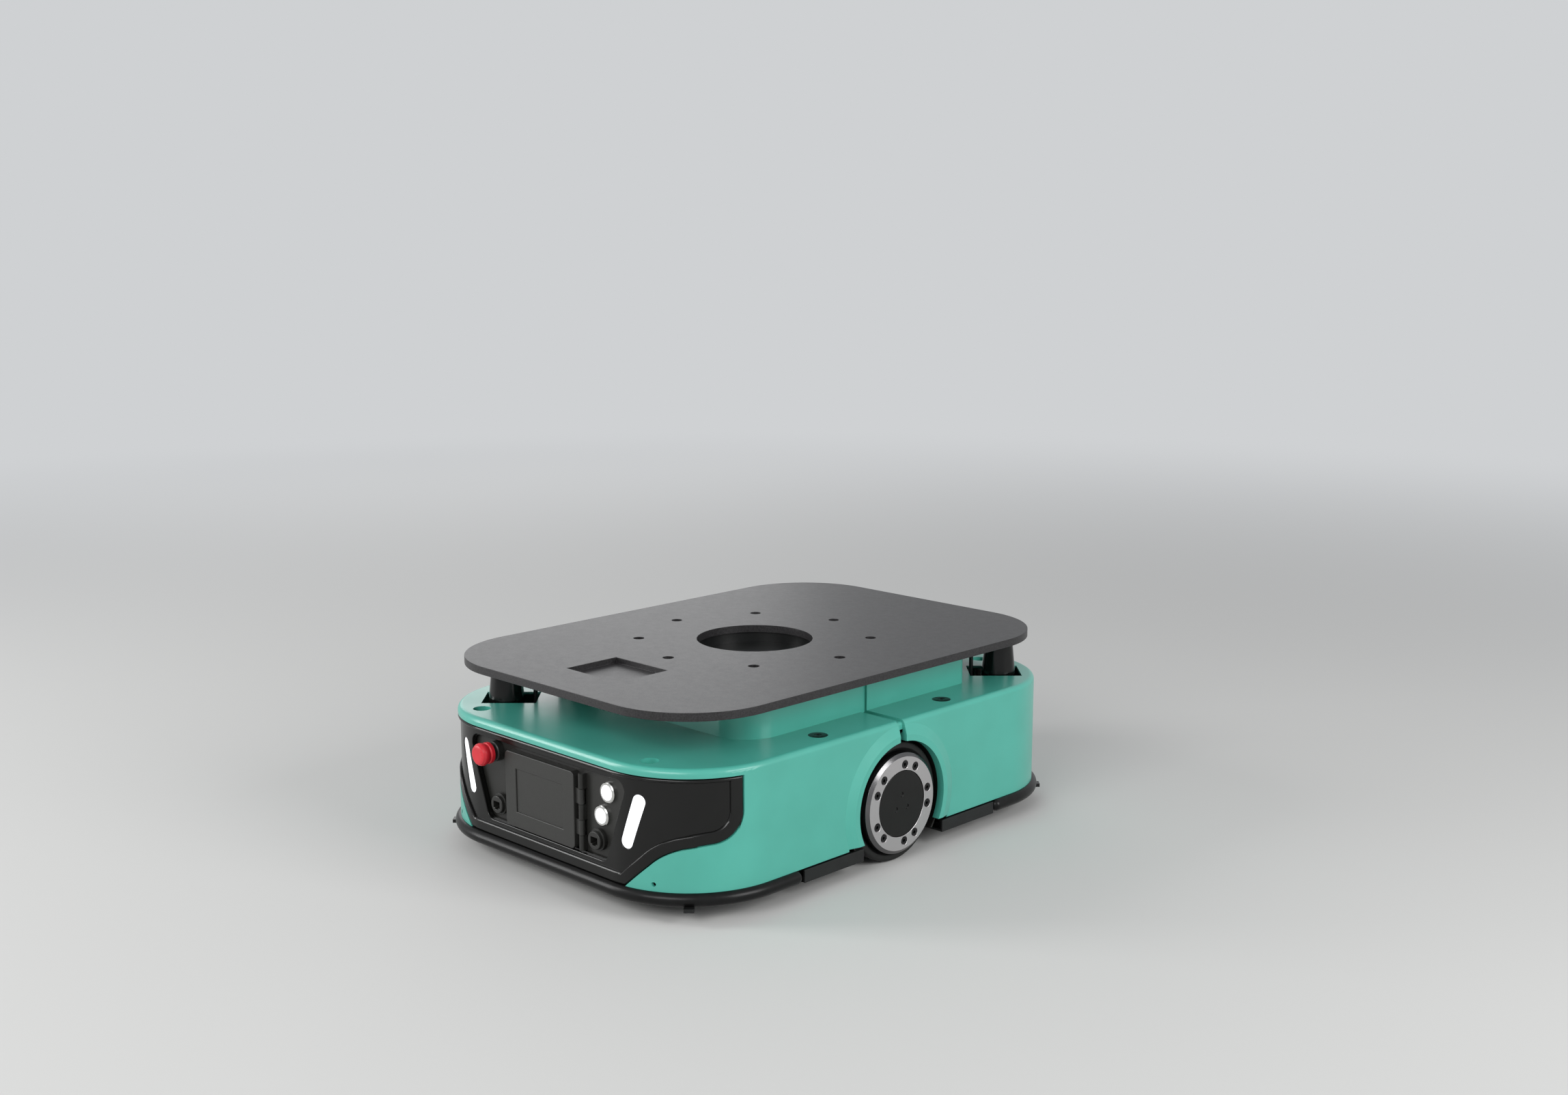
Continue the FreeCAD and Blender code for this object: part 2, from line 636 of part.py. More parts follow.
def whole_cover():
    """Both covers in one, before the seam parts them."""
    shell = cover_block(0, COVER_BOTTOM).cut(cover_block(COVER_WALL, COVER_BOTTOM - CUT_OVER))
    shell = shell.cut(both_sides(arch_hole(ARCH_RADIUS)))
    shell = shell.fuse(both_sides(arch_flare()))
    cups = []
    cuts = []
    for x, y in (FRONT_SCREW, REAR_SCREW):
        bottom = COVER_TOP - CUP_DEPTH - CUP_WALL
        cups += both_sides(rod(CUP_RADIUS + CUP_WALL, (x, y, bottom), (0, 0, 1), CUP_DEPTH))
        cuts += both_sides(rod(CUP_RADIUS, (x, y, COVER_TOP - CUP_DEPTH), (0, 0, 1), CUP_DEPTH + 1))
        cuts += both_sides(rod(SCREW_HOLE_RADIUS, (x, y, bottom - 1), (0, 0, 1), CUT_OVER))
    for y in (-SIDE_SCREW_Y, SIDE_SCREW_Y):
        cuts += both_sides(rod(SCREW_HOLE_RADIUS, (SIDE_SCREW_X, y, COVER_TOP - CUT_OVER),
                               (0, 0, 1), 2 * CUT_OVER))
        cuts += both_sides(rod(WASHER_RADIUS, (SIDE_SCREW_X, y, COVER_TOP - WASHER_HEIGHT + WASHER_PROUD),
                               (0, 0, 1), WASHER_HEIGHT))
    for _, x, y in SCANNERS:
        cx, cy = diagonal(x, y, -OPENING_SHIFT)
        cuts.append(turned_block(OPENING_LENGTH, OPENING_WIDTH, COVER_TOP - CUT_OVER,
                                 COVER_TOP + CUT_OVER, cx, cy))
    collar = BORE_RADIUS + COLLAR_CLEARANCE + COLLAR_WALL
    cuts.append(rod(collar + COLLAR_CLEARANCE, (0, 0, PLINTH_TOP - CUT_OVER), (0, 0, 1), 2 * CUT_OVER))
    cuts += [rod(SPACER_RADIUS + SPACER_CLEARANCE, (x, y, PLINTH_TOP - CUT_OVER), (0, 0, 1), 2 * CUT_OVER)
             for x, y in spacer_places()]
    cuts.append(block(-BIG, BIG, -ARCH_NOTCH_HALF, ARCH_NOTCH_HALF,
                      COVER_BOTTOM - CUT_OVER, COVER_BOTTOM + ARCH_NOTCH_RISE))
    return shell.fuse(cups).cut(cuts)


def seam_lip():
    """Joggled strip on the front cover that closes the seam from behind."""
    outer = cover_block(COVER_WALL, COVER_BOTTOM)
    strip = outer.cut(lip_core())
    strip = strip.common(block(-BIG, BIG, SEAM_FRONT_Y - LIP_LAP, SEAM_REAR_Y + LIP_LAP, AXLE_Z, BIG))
    collar = BORE_RADIUS + COLLAR_CLEARANCE + COLLAR_WALL
    strip = strip.cut(both_sides(arch_hole(ARCH_RADIUS + FLARE_LAND + ARCH_RETURN)))
    return strip.cut(rod(collar + COLLAR_CLEARANCE, (0, 0, COVER_TOP), (0, 0, 1), BIG))


def lip_core():
    inset = COVER_WALL + LIP_WALL
    low = body_prism(inset, COVER_BOTTOM - CUT_OVER, COVER_TOP - inset)
    high = plinth_prism(inset, COVER_TOP - inset - 2, PLINTH_TOP - COVER_WALL)
    return low.fuse(high)


def front_outline():
    """Lower edge of the fascia seen from the front, open upwards far above the cover."""
    sweep = tuple((BODY_SIDE - inset, FASCIA_STEP_Z - drop) for inset, drop in FASCIA_SWEEP)
    half = [(BODY_SIDE - FASCIA_FOOT_INSET, COVER_BOTTOM), sweep,
            (BODY_SIDE - FASCIA_STEP_INSET, FASCIA_STEP_Z), (BODY_SIDE - FASCIA_STEP_END, 0),
            (BIG, 0), (BIG, BIG)]
    left = []
    for item in reversed(half):
        if len(item) == 3:
            left.append(tuple((-x, z) for x, z in reversed(item)))
        else:
            left.append((-item[0], item[1]))
    return half + left


def side_outline():
    """Lower edge and rear end of the fascia seen from the side."""
    end = FASCIA_WRAP - BODY_END
    start = end - FASCIA_HOOK_START
    hook = tuple((end - inset, FASCIA_STEP_Z + rise) for inset, rise in FASCIA_HOOK)
    return [(-BIG, 0), (start - FASCIA_SLOPE_RUN, 0), (start, FASCIA_STEP_Z), hook, (end, BIG), (-BIG, BIG)]


def fascia_region(margin, top):
    """Space inside the fascia's outline, grown by margin (or shrunk, when negative)."""
    front = outline_face(front_outline(), "XZ")
    side = outline_face(side_outline(), "YZ")
    if margin:
        front = front.makeOffset2D(margin)
        side = side.makeOffset2D(margin)
    front.translate(V(0, -BODY_LENGTH, 0))
    side.translate(V(-BODY_WIDTH, 0, 0))
    region = front.extrude(V(0, BODY_LENGTH, 0)).common(side.extrude(V(2 * BODY_WIDTH, 0, 0)))
    return region.common(block(-BIG, BIG, -BIG, 0, -BIG, top))


def front_cover(shell):
    half = shell.common(block(-BIG, BIG, -BIG, SEAM_FRONT_Y, 0, BIG))
    half = half.cut(fascia_region(FASCIA_GAP, FASCIA_TOP + FASCIA_GAP))
    ledge = body_band(COVER_WALL, COVER_WALL + FASCIA_LEDGE_WALL, COVER_BOTTOM, COVER_TOP - COVER_EDGE)
    ledge = ledge.common(fascia_region(FASCIA_LEDGE, FASCIA_TOP + FASCIA_LEDGE))
    ledge = ledge.cut(fascia_region(-FASCIA_LEDGE, FASCIA_TOP - FASCIA_LEDGE))
    holes = both_sides(rod(TOW_HOLE_RADIUS, (TOW_HOLE[0], -BODY_END, TOW_HOLE[1]), (0, 1, 0), 2 * CUT_OVER))
    return join(half, ledge, seam_lip()).cut(holes)


def rear_cover(shell):
    half = shell.common(block(-BIG, BIG, SEAM_REAR_Y, BIG, 0, BIG))
    vents = []
    for k in range(VENT_COUNT):
        x = (k - (VENT_COUNT - 1) / 2) * VENT_PITCH
        slot = capsule((x, VENT_BOTTOM), (x, VENT_TOP), VENT_WIDTH / 2)
        vents.append(front_prism(slot, BODY_END - CUT_OVER, BODY_END + CUT_OVER))
    return half.cut(vents)


def finishing_washers():
    """Cup washers that sit in the top of the covers round the side screws."""
    bottom = COVER_TOP - WASHER_HEIGHT + WASHER_PROUD
    inner, outer = SCREW_HEAD_RADIUS + WASHER_GAP, WASHER_RADIUS - WASHER_GAP
    outline = [(inner, 0), (outer, 0), (outer, WASHER_HEIGHT - WASHER_BEVEL),
               (outer - 2 * WASHER_BEVEL, WASHER_HEIGHT), (inner, WASHER_HEIGHT)]
    rings = []
    for y in (-SIDE_SCREW_Y, SIDE_SCREW_Y):
        rings += both_sides(turned(outline, (SIDE_SCREW_X, y, bottom), (0, 0, 1)))
    return Part.makeCompound(rings)


def cover_screw(x, y, seat, ground):
    """Cap screw whose shank reaches the pillar below the cover's wall."""
    head = rod(SCREW_HEAD_RADIUS, (x, y, seat), (0, 0, 1), SCREW_HEAD_HEIGHT)
    socket = rod(SCREW_SOCKET_RADIUS, (x, y, seat + SCREW_HEAD_HEIGHT / 2), (0, 0, 1), SCREW_HEAD_HEIGHT)
    shank = rod(SCREW_SHANK_RADIUS, (x, y, ground), (0, 0, 1), seat - ground + 1)
    return join(head, shank).cut(socket)


def cover_screws():
    screws = []
    for x, y in (FRONT_SCREW, REAR_SCREW):
        seat = COVER_TOP - CUP_DEPTH
        screws += both_sides(cover_screw(x, y, seat, seat - CUP_WALL))
    for y in (-SIDE_SCREW_Y, SIDE_SCREW_Y):
        seat = COVER_TOP - WASHER_HEIGHT + WASHER_PROUD
        screws += both_sides(cover_screw(SIDE_SCREW_X, y, seat, COVER_TOP - COVER_WALL))
    return Part.makeCompound(screws)


# ---------------------------------------------------------------- front fascia and panel
def window_outline():
    points = [(-WINDOW_HALF_BOTTOM, WINDOW_BOTTOM), (WINDOW_HALF_BOTTOM, WINDOW_BOTTOM),
              (WINDOW_HALF_TOP, WINDOW_TOP), (-WINDOW_HALF_TOP, WINDOW_TOP)]
    return rounded_outline(points, WINDOW_CORNER)


def lamp_slots(grow=0.0):
    outline = capsule(LAMP_BOTTOM, LAMP_TOP, LAMP_RADIUS + grow)
    slot = front_prism(outline, -BODY_END - CUT_OVER, PANEL_FRONT_Y + CUT_OVER)
    return both_sides(slot)


def front_fascia():
    sink = FASCIA_WALL
    rim = body_band(0, FASCIA_WALL, COVER_BOTTOM, FASCIA_TOP).common(fascia_region(0, FASCIA_TOP))
    rim = rim.cut(fascia_region(-FASCIA_RIM, FASCIA_TOP - FASCIA_TOP_RIM))
    face = body_band(sink, sink + FASCIA_WALL, COVER_BOTTOM, FASCIA_TOP)
    face = face.common(fascia_region(FASCIA_LAP - FASCIA_RIM, FASCIA_TOP - FASCIA_TOP_RIM + 1))
    inner_y = -BODY_END + sink + FASCIA_WALL
    surround = front_prism(window_outline(), inner_y - 1, PANEL_FRONT_Y, WINDOW_WALL)
    surround = surround.cut(front_prism(window_outline(), inner_y - CUT_OVER, PANEL_FRONT_Y + CUT_OVER))
    ledge = front_prism(window_outline(), inner_y + 1, inner_y + 3)
    ledge = ledge.cut(front_prism(window_outline(), inner_y - CUT_OVER, PANEL_FRONT_Y + CUT_OVER,
                                  -WINDOW_LEDGE))
    window = front_prism(window_outline(), -BODY_END - CUT_OVER, inner_y + 1)
    return join(rim, face, surround).cut([window] + lamp_slots()).fuse(ledge).removeSplitter()


def lamp_lens(sign):
    front = FASCIA_WALL + LAMP_RECESS
    back = 2 * FASCIA_WALL
    lens = body_band(front, back + LAMP_WALL, 0, COVER_TOP).common(lamp_slots()[0])
    flange = body_band(back, back + LAMP_WALL, 0, COVER_TOP).common(lamp_slots(LAMP_FLANGE)[0])
    lens = join(lens, flange)
    return lens if sign > 0 else mirrored(lens)


def instrument_panel():
    panel = front_prism(window_outline(), PANEL_FRONT_Y, PANEL_FRONT_Y + PANEL_WALL, PANEL_MARGIN)
    holes = [(ESTOP_X, ESTOP_Z, ESTOP_BODY_RADIUS)]
    holes += [(x, z, BUTTON_BODY_RADIUS) for _, x, z in BUTTONS]
    holes += [(sign * NETWORK_X, NETWORK_Z, NETWORK_BODY_RADIUS) for _, sign in SIDES]
    cuts = [rod(r + CUTOUT_CLEARANCE, (x, PANEL_FRONT_Y - 1, z), (0, 1, 0), PANEL_WALL + 2)
            for x, z, r in holes]
    x, z = socket_centre()
    cuts.append(block(x - SOCKET_WIDTH / 2 - CUTOUT_CLEARANCE, x + SOCKET_WIDTH / 2 + CUTOUT_CLEARANCE,
                      PANEL_FRONT_Y - 1, PANEL_FRONT_Y + PANEL_WALL + 1,
                      z - SOCKET_HEIGHT / 2 - CUTOUT_CLEARANCE, z + SOCKET_HEIGHT / 2 + CUTOUT_CLEARANCE))
    return panel.cut(cuts)


# ---------------------------------------------------------------- charging door
def socket_centre():
    return (DOOR_LEFT + DOOR_RIGHT) / 2, (DOOR_BOTTOM + DOOR_TOP) / 2


def knuckle_span(index):
    """Lower and upper end of one hinge knuckle."""
    pitch = (DOOR_TOP - DOOR_BOTTOM) / HINGE_KNUCKLES
    low = DOOR_BOTTOM + index * pitch
    return low + HINGE_GAP / 2, low + pitch - HINGE_GAP / 2


def charge_door():
    outline = rounded_outline([(DOOR_LEFT, DOOR_BOTTOM), (DOOR_RIGHT, DOOR_BOTTOM),
                               (DOOR_RIGHT, DOOR_TOP), (DOOR_LEFT, DOOR_TOP)], DOOR_CORNER)
    back_y = PANEL_FRONT_Y - DOOR_REAR_GAP
    leaf = front_prism(outline, DOOR_FRONT_Y, back_y)
    room = front_prism(outline, DOOR_FRONT_Y + DOOR_WALL, back_y + 1, -DOOR_WALL)
    inset = block(DOOR_LEFT + INSET_SIDE, DOOR_RIGHT - INSET_SIDE, DOOR_FRONT_Y - 1,
                  DOOR_FRONT_Y + INSET_DEPTH, DOOR_BOTTOM + INSET_UNDER, DOOR_TOP - INSET_UNDER)
    leaf = leaf.cut([room, inset])
    parts = [leaf]
    bores = []
    for k in range(1, HINGE_KNUCKLES, 2):
        low, high = knuckle_span(k)
        parts.append(rod(HINGE_RADIUS, (HINGE_X, HINGE_Y, low), (0, 0, 1), high - low))
        parts.append(block(DOOR_RIGHT - 1, HINGE_X - HINGE_PIN_RADIUS, HINGE_Y - 2, HINGE_Y + 1, low, high))
        bores.append(rod(HINGE_PIN_RADIUS + RUNNING_CLEARANCE, (HINGE_X, HINGE_Y, low - 1),
                         (0, 0, 1), high - low + 2))
    return join(*parts).cut(bores)


def door_hinge():
    """Fixed knuckles, the pin they hold and the feet that fix them to the panel."""
    low = knuckle_span(0)[0]
    high = knuckle_span(HINGE_KNUCKLES - 1)[1]
    parts = [rod(HINGE_PIN_RADIUS, (HINGE_X, HINGE_Y, low), (0, 0, 1), high - low)]
    for k in range(0, HINGE_KNUCKLES, 2):
        low, high = knuckle_span(k)
        parts.append(rod(HINGE_RADIUS, (HINGE_X, HINGE_Y, low), (0, 0, 1), high - low))
        parts.append(block(HINGE_X - HINGE_RADIUS / 2, HINGE_X + HINGE_RADIUS,
                           HINGE_Y, PANEL_FRONT_Y, low, high))
    return join(*parts)


def charge_socket():
    x, z = socket_centre()
    flange = SOCKET_FLANGE
    body = block(x - SOCKET_WIDTH / 2, x + SOCKET_WIDTH / 2, PANEL_FRONT_Y - 1, PANEL_FRONT_Y + SOCKET_DEPTH,
                 z - SOCKET_HEIGHT / 2, z + SOCKET_HEIGHT / 2)
    rim = block(x - SOCKET_WIDTH / 2 - flange, x + SOCKET_WIDTH / 2 + flange,
                PANEL_FRONT_Y - SOCKET_RIM, PANEL_FRONT_Y,
                z - SOCKET_HEIGHT / 2 - flange, z + SOCKET_HEIGHT / 2 + flange)
    width, height, depth = SOCKET_MOUTH
    mouth = block(x - width / 2, x + width / 2, PANEL_FRONT_Y - SOCKET_RIM - 1,
                  PANEL_FRONT_Y - SOCKET_RIM + depth, z - height / 2, z + height / 2)
    return join(body, rim).cut(mouth)


# ---------------------------------------------------------------- switches and sockets
def estop_base():
    bore = ESTOP_STEM_RADIUS + SLIDE_CLEARANCE
    front = -ESTOP_COLLAR_LENGTH
    outline = [(bore, front), (ESTOP_COLLAR_RADIUS - PANEL_FEATURE_BEVEL, front),
               (ESTOP_COLLAR_RADIUS, front + PANEL_FEATURE_BEVEL), (ESTOP_COLLAR_RADIUS, 0),
               (ESTOP_BODY_RADIUS, 0), (ESTOP_BODY_RADIUS, ESTOP_BODY_LENGTH), (0, ESTOP_BODY_LENGTH),
               (0, ESTOP_BORE_LENGTH), (bore, ESTOP_BORE_LENGTH)]
    return turned(outline, (ESTOP_X, PANEL_FRONT_Y, ESTOP_Z), (0, 1, 0))


def estop_plunger():
    """Stem that slides in the base and carries the head on a reduced nose."""
    front = -ESTOP_COLLAR_LENGTH - ESTOP_TRAVEL - ESTOP_GAP
    nose = front - ESTOP_HEAD_LENGTH + ESTOP_HEAD_WALL
    back = ESTOP_BORE_LENGTH - ESTOP_TRAVEL - ESTOP_STEM_GAP
    outline = [(0, nose), (ESTOP_NOSE_RADIUS, nose), (ESTOP_NOSE_RADIUS, front - ESTOP_NOSE_STEP),
               (ESTOP_STEM_RADIUS, front - ESTOP_NOSE_STEP), (ESTOP_STEM_RADIUS, back), (0, back)]
    return turned(outline, (ESTOP_X, PANEL_FRONT_Y, ESTOP_Z), (0, 1, 0))


def estop_head():
    r = ESTOP_HEAD_RADIUS
    back = -ESTOP_COLLAR_LENGTH - ESTOP_TRAVEL - ESTOP_GAP
    front = back - ESTOP_HEAD_LENGTH
    nose = ESTOP_NOSE_RADIUS + SLIDE_CLEARANCE
    stem = ESTOP_STEM_RADIUS + SLIDE_CLEARANCE
    step = back - ESTOP_NOSE_STEP - SLIDE_CLEARANCE
    floor = front + ESTOP_HEAD_WALL - SLIDE_CLEARANCE
    outline = [(0, front)] + [(r * share, front + along) for share, along in ESTOP_HEAD_PROFILE]
    outline += [(r * ESTOP_HEAD_PROFILE[-1][0], back), (stem, back), (stem, step), (nose, step),
                (nose, floor), (0, floor)]
    return turned(outline, (ESTOP_X, PANEL_FRONT_Y, ESTOP_Z), (0, 1, 0))


def button_bezel(x, z):
    bore = BUTTON_CAP_RADIUS + SLIDE_CLEARANCE
    floor = BUTTON_BODY_LENGTH - BUTTON_FLOOR
    outline = [(bore, -BUTTON_RISE), (BUTTON_RADIUS - PANEL_FEATURE_BEVEL, -BUTTON_RISE),
               (BUTTON_RADIUS, PANEL_FEATURE_BEVEL - BUTTON_RISE), (BUTTON_RADIUS, 0),
               (BUTTON_BODY_RADIUS, 0), (BUTTON_BODY_RADIUS, BUTTON_BODY_LENGTH),
               (0, BUTTON_BODY_LENGTH), (0, floor), (bore, floor)]
    return turned(outline, (x, PANEL_FRONT_Y, z), (0, 1, 0))


def button_cap(x, z):
    front = -BUTTON_RISE - BUTTON_CAP_RISE
    back = BUTTON_BODY_LENGTH - BUTTON_FLOOR - BUTTON_TRAVEL - BUTTON_REAR_GAP
    outline = [(0, front), (BUTTON_CAP_RADIUS - CAP_BEVEL, front), (BUTTON_CAP_RADIUS, front + CAP_BEVEL),
               (BUTTON_CAP_RADIUS, back), (0, back)]
    return turned(outline, (x, PANEL_FRONT_Y, z), (0, 1, 0))


def network_socket(sign):
    outline = [(0, -2 * NETWORK_STEP), (NETWORK_NOSE_RADIUS - CAP_BEVEL, -2 * NETWORK_STEP),
               (NETWORK_NOSE_RADIUS, CAP_BEVEL - 2 * NETWORK_STEP), (NETWORK_NOSE_RADIUS, -NETWORK_STEP),
               (NETWORK_FLANGE_RADIUS, -NETWORK_STEP), (NETWORK_FLANGE_RADIUS, 0),
               (NETWORK_BODY_RADIUS, 0), (NETWORK_BODY_RADIUS, NETWORK_BODY_LENGTH), (0, NETWORK_BODY_LENGTH)]
    x = sign * NETWORK_X
    body = turned(outline, (x, PANEL_FRONT_Y, NETWORK_Z), (0, 1, 0))
    width, height, depth = NETWORK_MOUTH
    y0 = PANEL_FRONT_Y - 2 * NETWORK_STEP
    low = NETWORK_Z - height / 2
    mouth = block(x - width / 2, x + width / 2, y0 - 1, y0 + depth, low, low + height)
    latch = block(x - width / 4, x + width / 4, y0 - 1, y0 + depth, low - NETWORK_LATCH, NETWORK_Z)
    return body.cut([mouth, latch])


# ---------------------------------------------------------------- chassis
def caster_places():
    for end, ey in (("front", -1), ("rear", 1)):
        for side, sign in SIDES:
            yield f"{end}_{side}", sign * CASTER_X, ey * CASTER_Y


def caster_sweep():
    """Radius of the circle that a swivelling caster needs."""
    reach = math.hypot(CASTER_TRAIL + CASTER_WHEEL_RADIUS, CASTER_WHEEL_WIDTH / 2)
    return reach + CASTER_SWEEP_CLEARANCE


def base_plate():
    tray = body_prism(RIM_INSET, FLOOR_BOTTOM, FLOOR_TOP)
    rim = body_band(RIM_INSET, RIM_INSET + RIM_WALL, FLOOR_BOTTOM, RIM_TOP)
    cuts = [rod(caster_sweep(), (x, y, 0), (0, 0, 1), RIM_TOP + 1) for _, x, y in caster_places()]
    half = ARCH_RADIUS + WELL_CLEARANCE
    cuts += both_sides(block(WELL_INNER_X + WELL_WALL, BIG, -half, half, 0, RIM_TOP + 1))
    return join(tray, rim).cut(cuts + [bumper(-1), bumper(1)])


def frame_wall(sign):
    """Upright side plate, low between the shelves and high under the deck."""
    top = DECK_TOP - DECK_WALL
    low = block(WALL_X - WALL_WALL / 2, WALL_X + WALL_WALL / 2, -WALL_HALF_LENGTH, WALL_HALF_LENGTH,
                FLOOR_TOP, CASTER_HEIGHT)
    low = low.cut([block(0, BIG, -BIG, -SHELF_NOTCH_Y, 0, BIG)])
    high = block(WALL_X - WALL_WALL / 2, WALL_X + WALL_WALL / 2, -TOWER_HALF_LENGTH, TOWER_HALF_LENGTH,
                 FLOOR_TOP, top)
    high = high.makeFillet(TOWER_CORNER, [e for e in top_edges(high, top) if e.BoundBox.YLength < 1e-3])
    wall = join(low, high)
    y = TOWER_HALF_LENGTH - TOWER_WINDOW_INSET
    z = top - TOWER_WINDOW_DROP
    windows = [rod(TOWER_WINDOW_RADIUS, (WALL_X - WALL_WALL, place, z), (1, 0, 0), 2 * WALL_WALL)
               for place in (-y, y)]
    wall = wall.cut(windows)
    return wall if sign > 0 else mirrored(wall)


def caster_shelves():
    """Front and rear bridges that carry the casters below and the scanners above."""
    plate = body_prism(SHELF_INSET, CASTER_HEIGHT, SHELF_TOP)
    front = plate.common(block(-BIG, BIG, -BIG, -SHELF_INNER_Y, 0, BIG))
    front = front.cut(block(-SHELF_NOTCH_HALF, SHELF_NOTCH_HALF, -BIG, -SHELF_NOTCH_Y, 0, BIG))
    rear = plate.common(block(-BIG, BIG, SHELF_INNER_Y, BIG, 0, BIG))
    return Part.makeCompound([front, rear])


def top_deck():
    return plinth_prism(COVER_WALL + LIP_WALL + DECK_GAP, DECK_TOP - DECK_WALL, DECK_TOP)


def cover_standoffs():
    """Pillars under the cover screws."""
    pillars = []
    for y in (-SIDE_SCREW_Y, SIDE_SCREW_Y):
        height = COVER_TOP - COVER_WALL - FLOOR_TOP
        pillars += both_sides(rod(STANDOFF_RADIUS, (SIDE_SCREW_X, y, FLOOR_TOP), (0, 0, 1), height))
    for x, y in (FRONT_SCREW, REAR_SCREW):
        height = COVER_TOP - CUP_DEPTH - CUP_WALL - SHELF_TOP
        pillars += both_sides(rod(STANDOFF_RADIUS, (x, y, SHELF_TOP), (0, 0, 1), height))
    return Part.makeCompound(pillars)


def skirt(y0, y1, sign):
    """Folded strip on the floor's edge between a bumper and the wheel."""
    outer = BODY_SIDE + SKIRT_PROUD
    upright = block(outer - SKIRT_WALL, outer, y0, y1, GROUND_CLEARANCE, SKIRT_TOP)
    flange = block(outer - SKIRT_FLANGE, outer, y0, y1, GROUND_CLEARANCE, GROUND_CLEARANCE + SKIRT_WALL)
    shape = join(upright, flange)
    return shape if sign > 0 else mirrored(shape)


# ---------------------------------------------------------------- bumpers
def bumper(end):
    """Rubber tube round the front (end -1) or the rear (end 1) of the body."""
    x = BODY_SIDE - TUBE_INSET
    y = BODY_END - TUBE_INSET
    radius = BODY_CORNER - TUBE_INSET
    start_y = (-FRONT_TUBE_END if end < 0 else REAR_TUBE_END) + TUBE_RADIUS
    cx, cy = x - radius, y - radius
    bend = radius * math.sqrt(0.5)
    points = [V(x, start_y, TUBE_Z), V(x, cy, TUBE_Z), V(cx + bend, cy + bend, TUBE_Z), V(cx, y, TUBE_Z)]
    edges = [Part.LineSegment(points[0], points[1]).toShape(),
             Part.Arc(points[1], points[2], points[3]).toShape(),
             Part.LineSegment(points[3], V(-cx, y, TUBE_Z)).toShape(),
             Part.Arc(V(-cx, y, TUBE_Z), V(-cx - bend, cy + bend, TUBE_Z), V(-x, cy, TUBE_Z)).toShape(),
             Part.LineSegment(V(-x, cy, TUBE_Z), V(-x, start_y, TUBE_Z)).toShape()]
    circle = Part.Wire(Part.makeCircle(TUBE_RADIUS, points[0], V(0, 1, 0)))
    tube = Part.Wire(edges).makePipeShell([circle], True, True)
    caps = [Part.makeSphere(TUBE_RADIUS, V(sx * x, start_y, TUBE_Z)) for sx in (-1, 1)]
    tube = join(tube, *caps)
    if end < 0:
        tube = tube.mirror(V(0, 0, 0), V(0, 1, 0))
    return tube


def bumper_clips(tubes):
    """Cradles under the tubes at the four corners."""
    cx, cy = BODY_SIDE - BODY_CORNER, BODY_END - BODY_CORNER
    clips = []
    for sy in (-1, 1):
        clip = block(BODY_CORNER - CLIP_ROOT, BODY_CORNER + CLIP_REACH,
                     -CLIP_WIDTH / 2, CLIP_WIDTH / 2, CLIP_BOTTOM, FLOOR_BOTTOM)
        clip.rotate(V(0, 0, 0), V(0, 0, 1), 45 * sy)
        clip.translate(V(cx, sy * cy, 0))
        clips += both_sides(clip.cut(tubes))
    return Part.makeCompound(clips)


# ---------------------------------------------------------------- drive wheels
def drive_tyre():
    inner = TYRE_INNER_X
    s = TYRE_SHOULDER
    outline = [(RIM_RADIUS, inner), (TYRE_RADIUS - s, inner), (TYRE_RADIUS - 0.3 * s, inner + 0.3 * s),
               (TYRE_RADIUS, inner + s), (TYRE_RADIUS, TYRE_FACE_X - s),
               (TYRE_RADIUS - 0.3 * s, TYRE_FACE_X - 0.3 * s), (TYRE_RADIUS - s, TYRE_FACE_X),
               (RIM_RADIUS + s, TYRE_FACE_X), (RIM_RADIUS, TYRE_FACE_X - s)]
    return turned(outline, (0, 0, AXLE_Z), (1, 0, 0))


def screw_ring_places():
    """Angles of the ring screws, in pairs."""
    for k in range(RING_SCREW_PAIRS):
        for half in (-RING_SCREW_SPREAD, RING_SCREW_SPREAD):
            yield math.radians(k * 360 / RING_SCREW_PAIRS + half)


def on_wheel(radius, angle):
    return radius * math.cos(angle), AXLE_Z + radius * math.sin(angle)


def wheel_rim():
    """Rim with the bevelled front ring, the web and the hub boss."""
    inner = TYRE_INNER_X
    seat = RIM_FACE_X - RIM_RING_DEPTH
    web_back = seat - WEB_WALL
    bore = SPINDLE_RADIUS + RUNNING_CLEARANCE
    outline = [(bore, seat), (RIM_RING_INNER, seat), (RIM_RING_INNER, RIM_FACE_X),
               (RIM_RADIUS - RIM_BEVEL, RIM_FACE_X), (RIM_RADIUS, RIM_FACE_X - RIM_BEVEL_DEPTH),
               (RIM_RADIUS, inner), (RIM_RADIUS - RIM_SHELL, inner), (RIM_RADIUS - RIM_SHELL, web_back),
               (HUB_BOSS_RADIUS, web_back), (HUB_BOSS_RADIUS, seat - HUB_BORE_LENGTH),
               (bore, seat - HUB_BORE_LENGTH)]
    rim = turned(outline, (0, 0, AXLE_Z), (1, 0, 0))
    cuts = []
    for angle in screw_ring_places():
        y, z = on_wheel(RING_SCREW_CIRCLE, angle)
        cuts.append(rod(RING_BORE_RADIUS, (RIM_FACE_X - RING_BORE_DEPTH, y, z), (1, 0, 0),
                        RING_BORE_DEPTH + 1))
    return rim.cut(cuts)


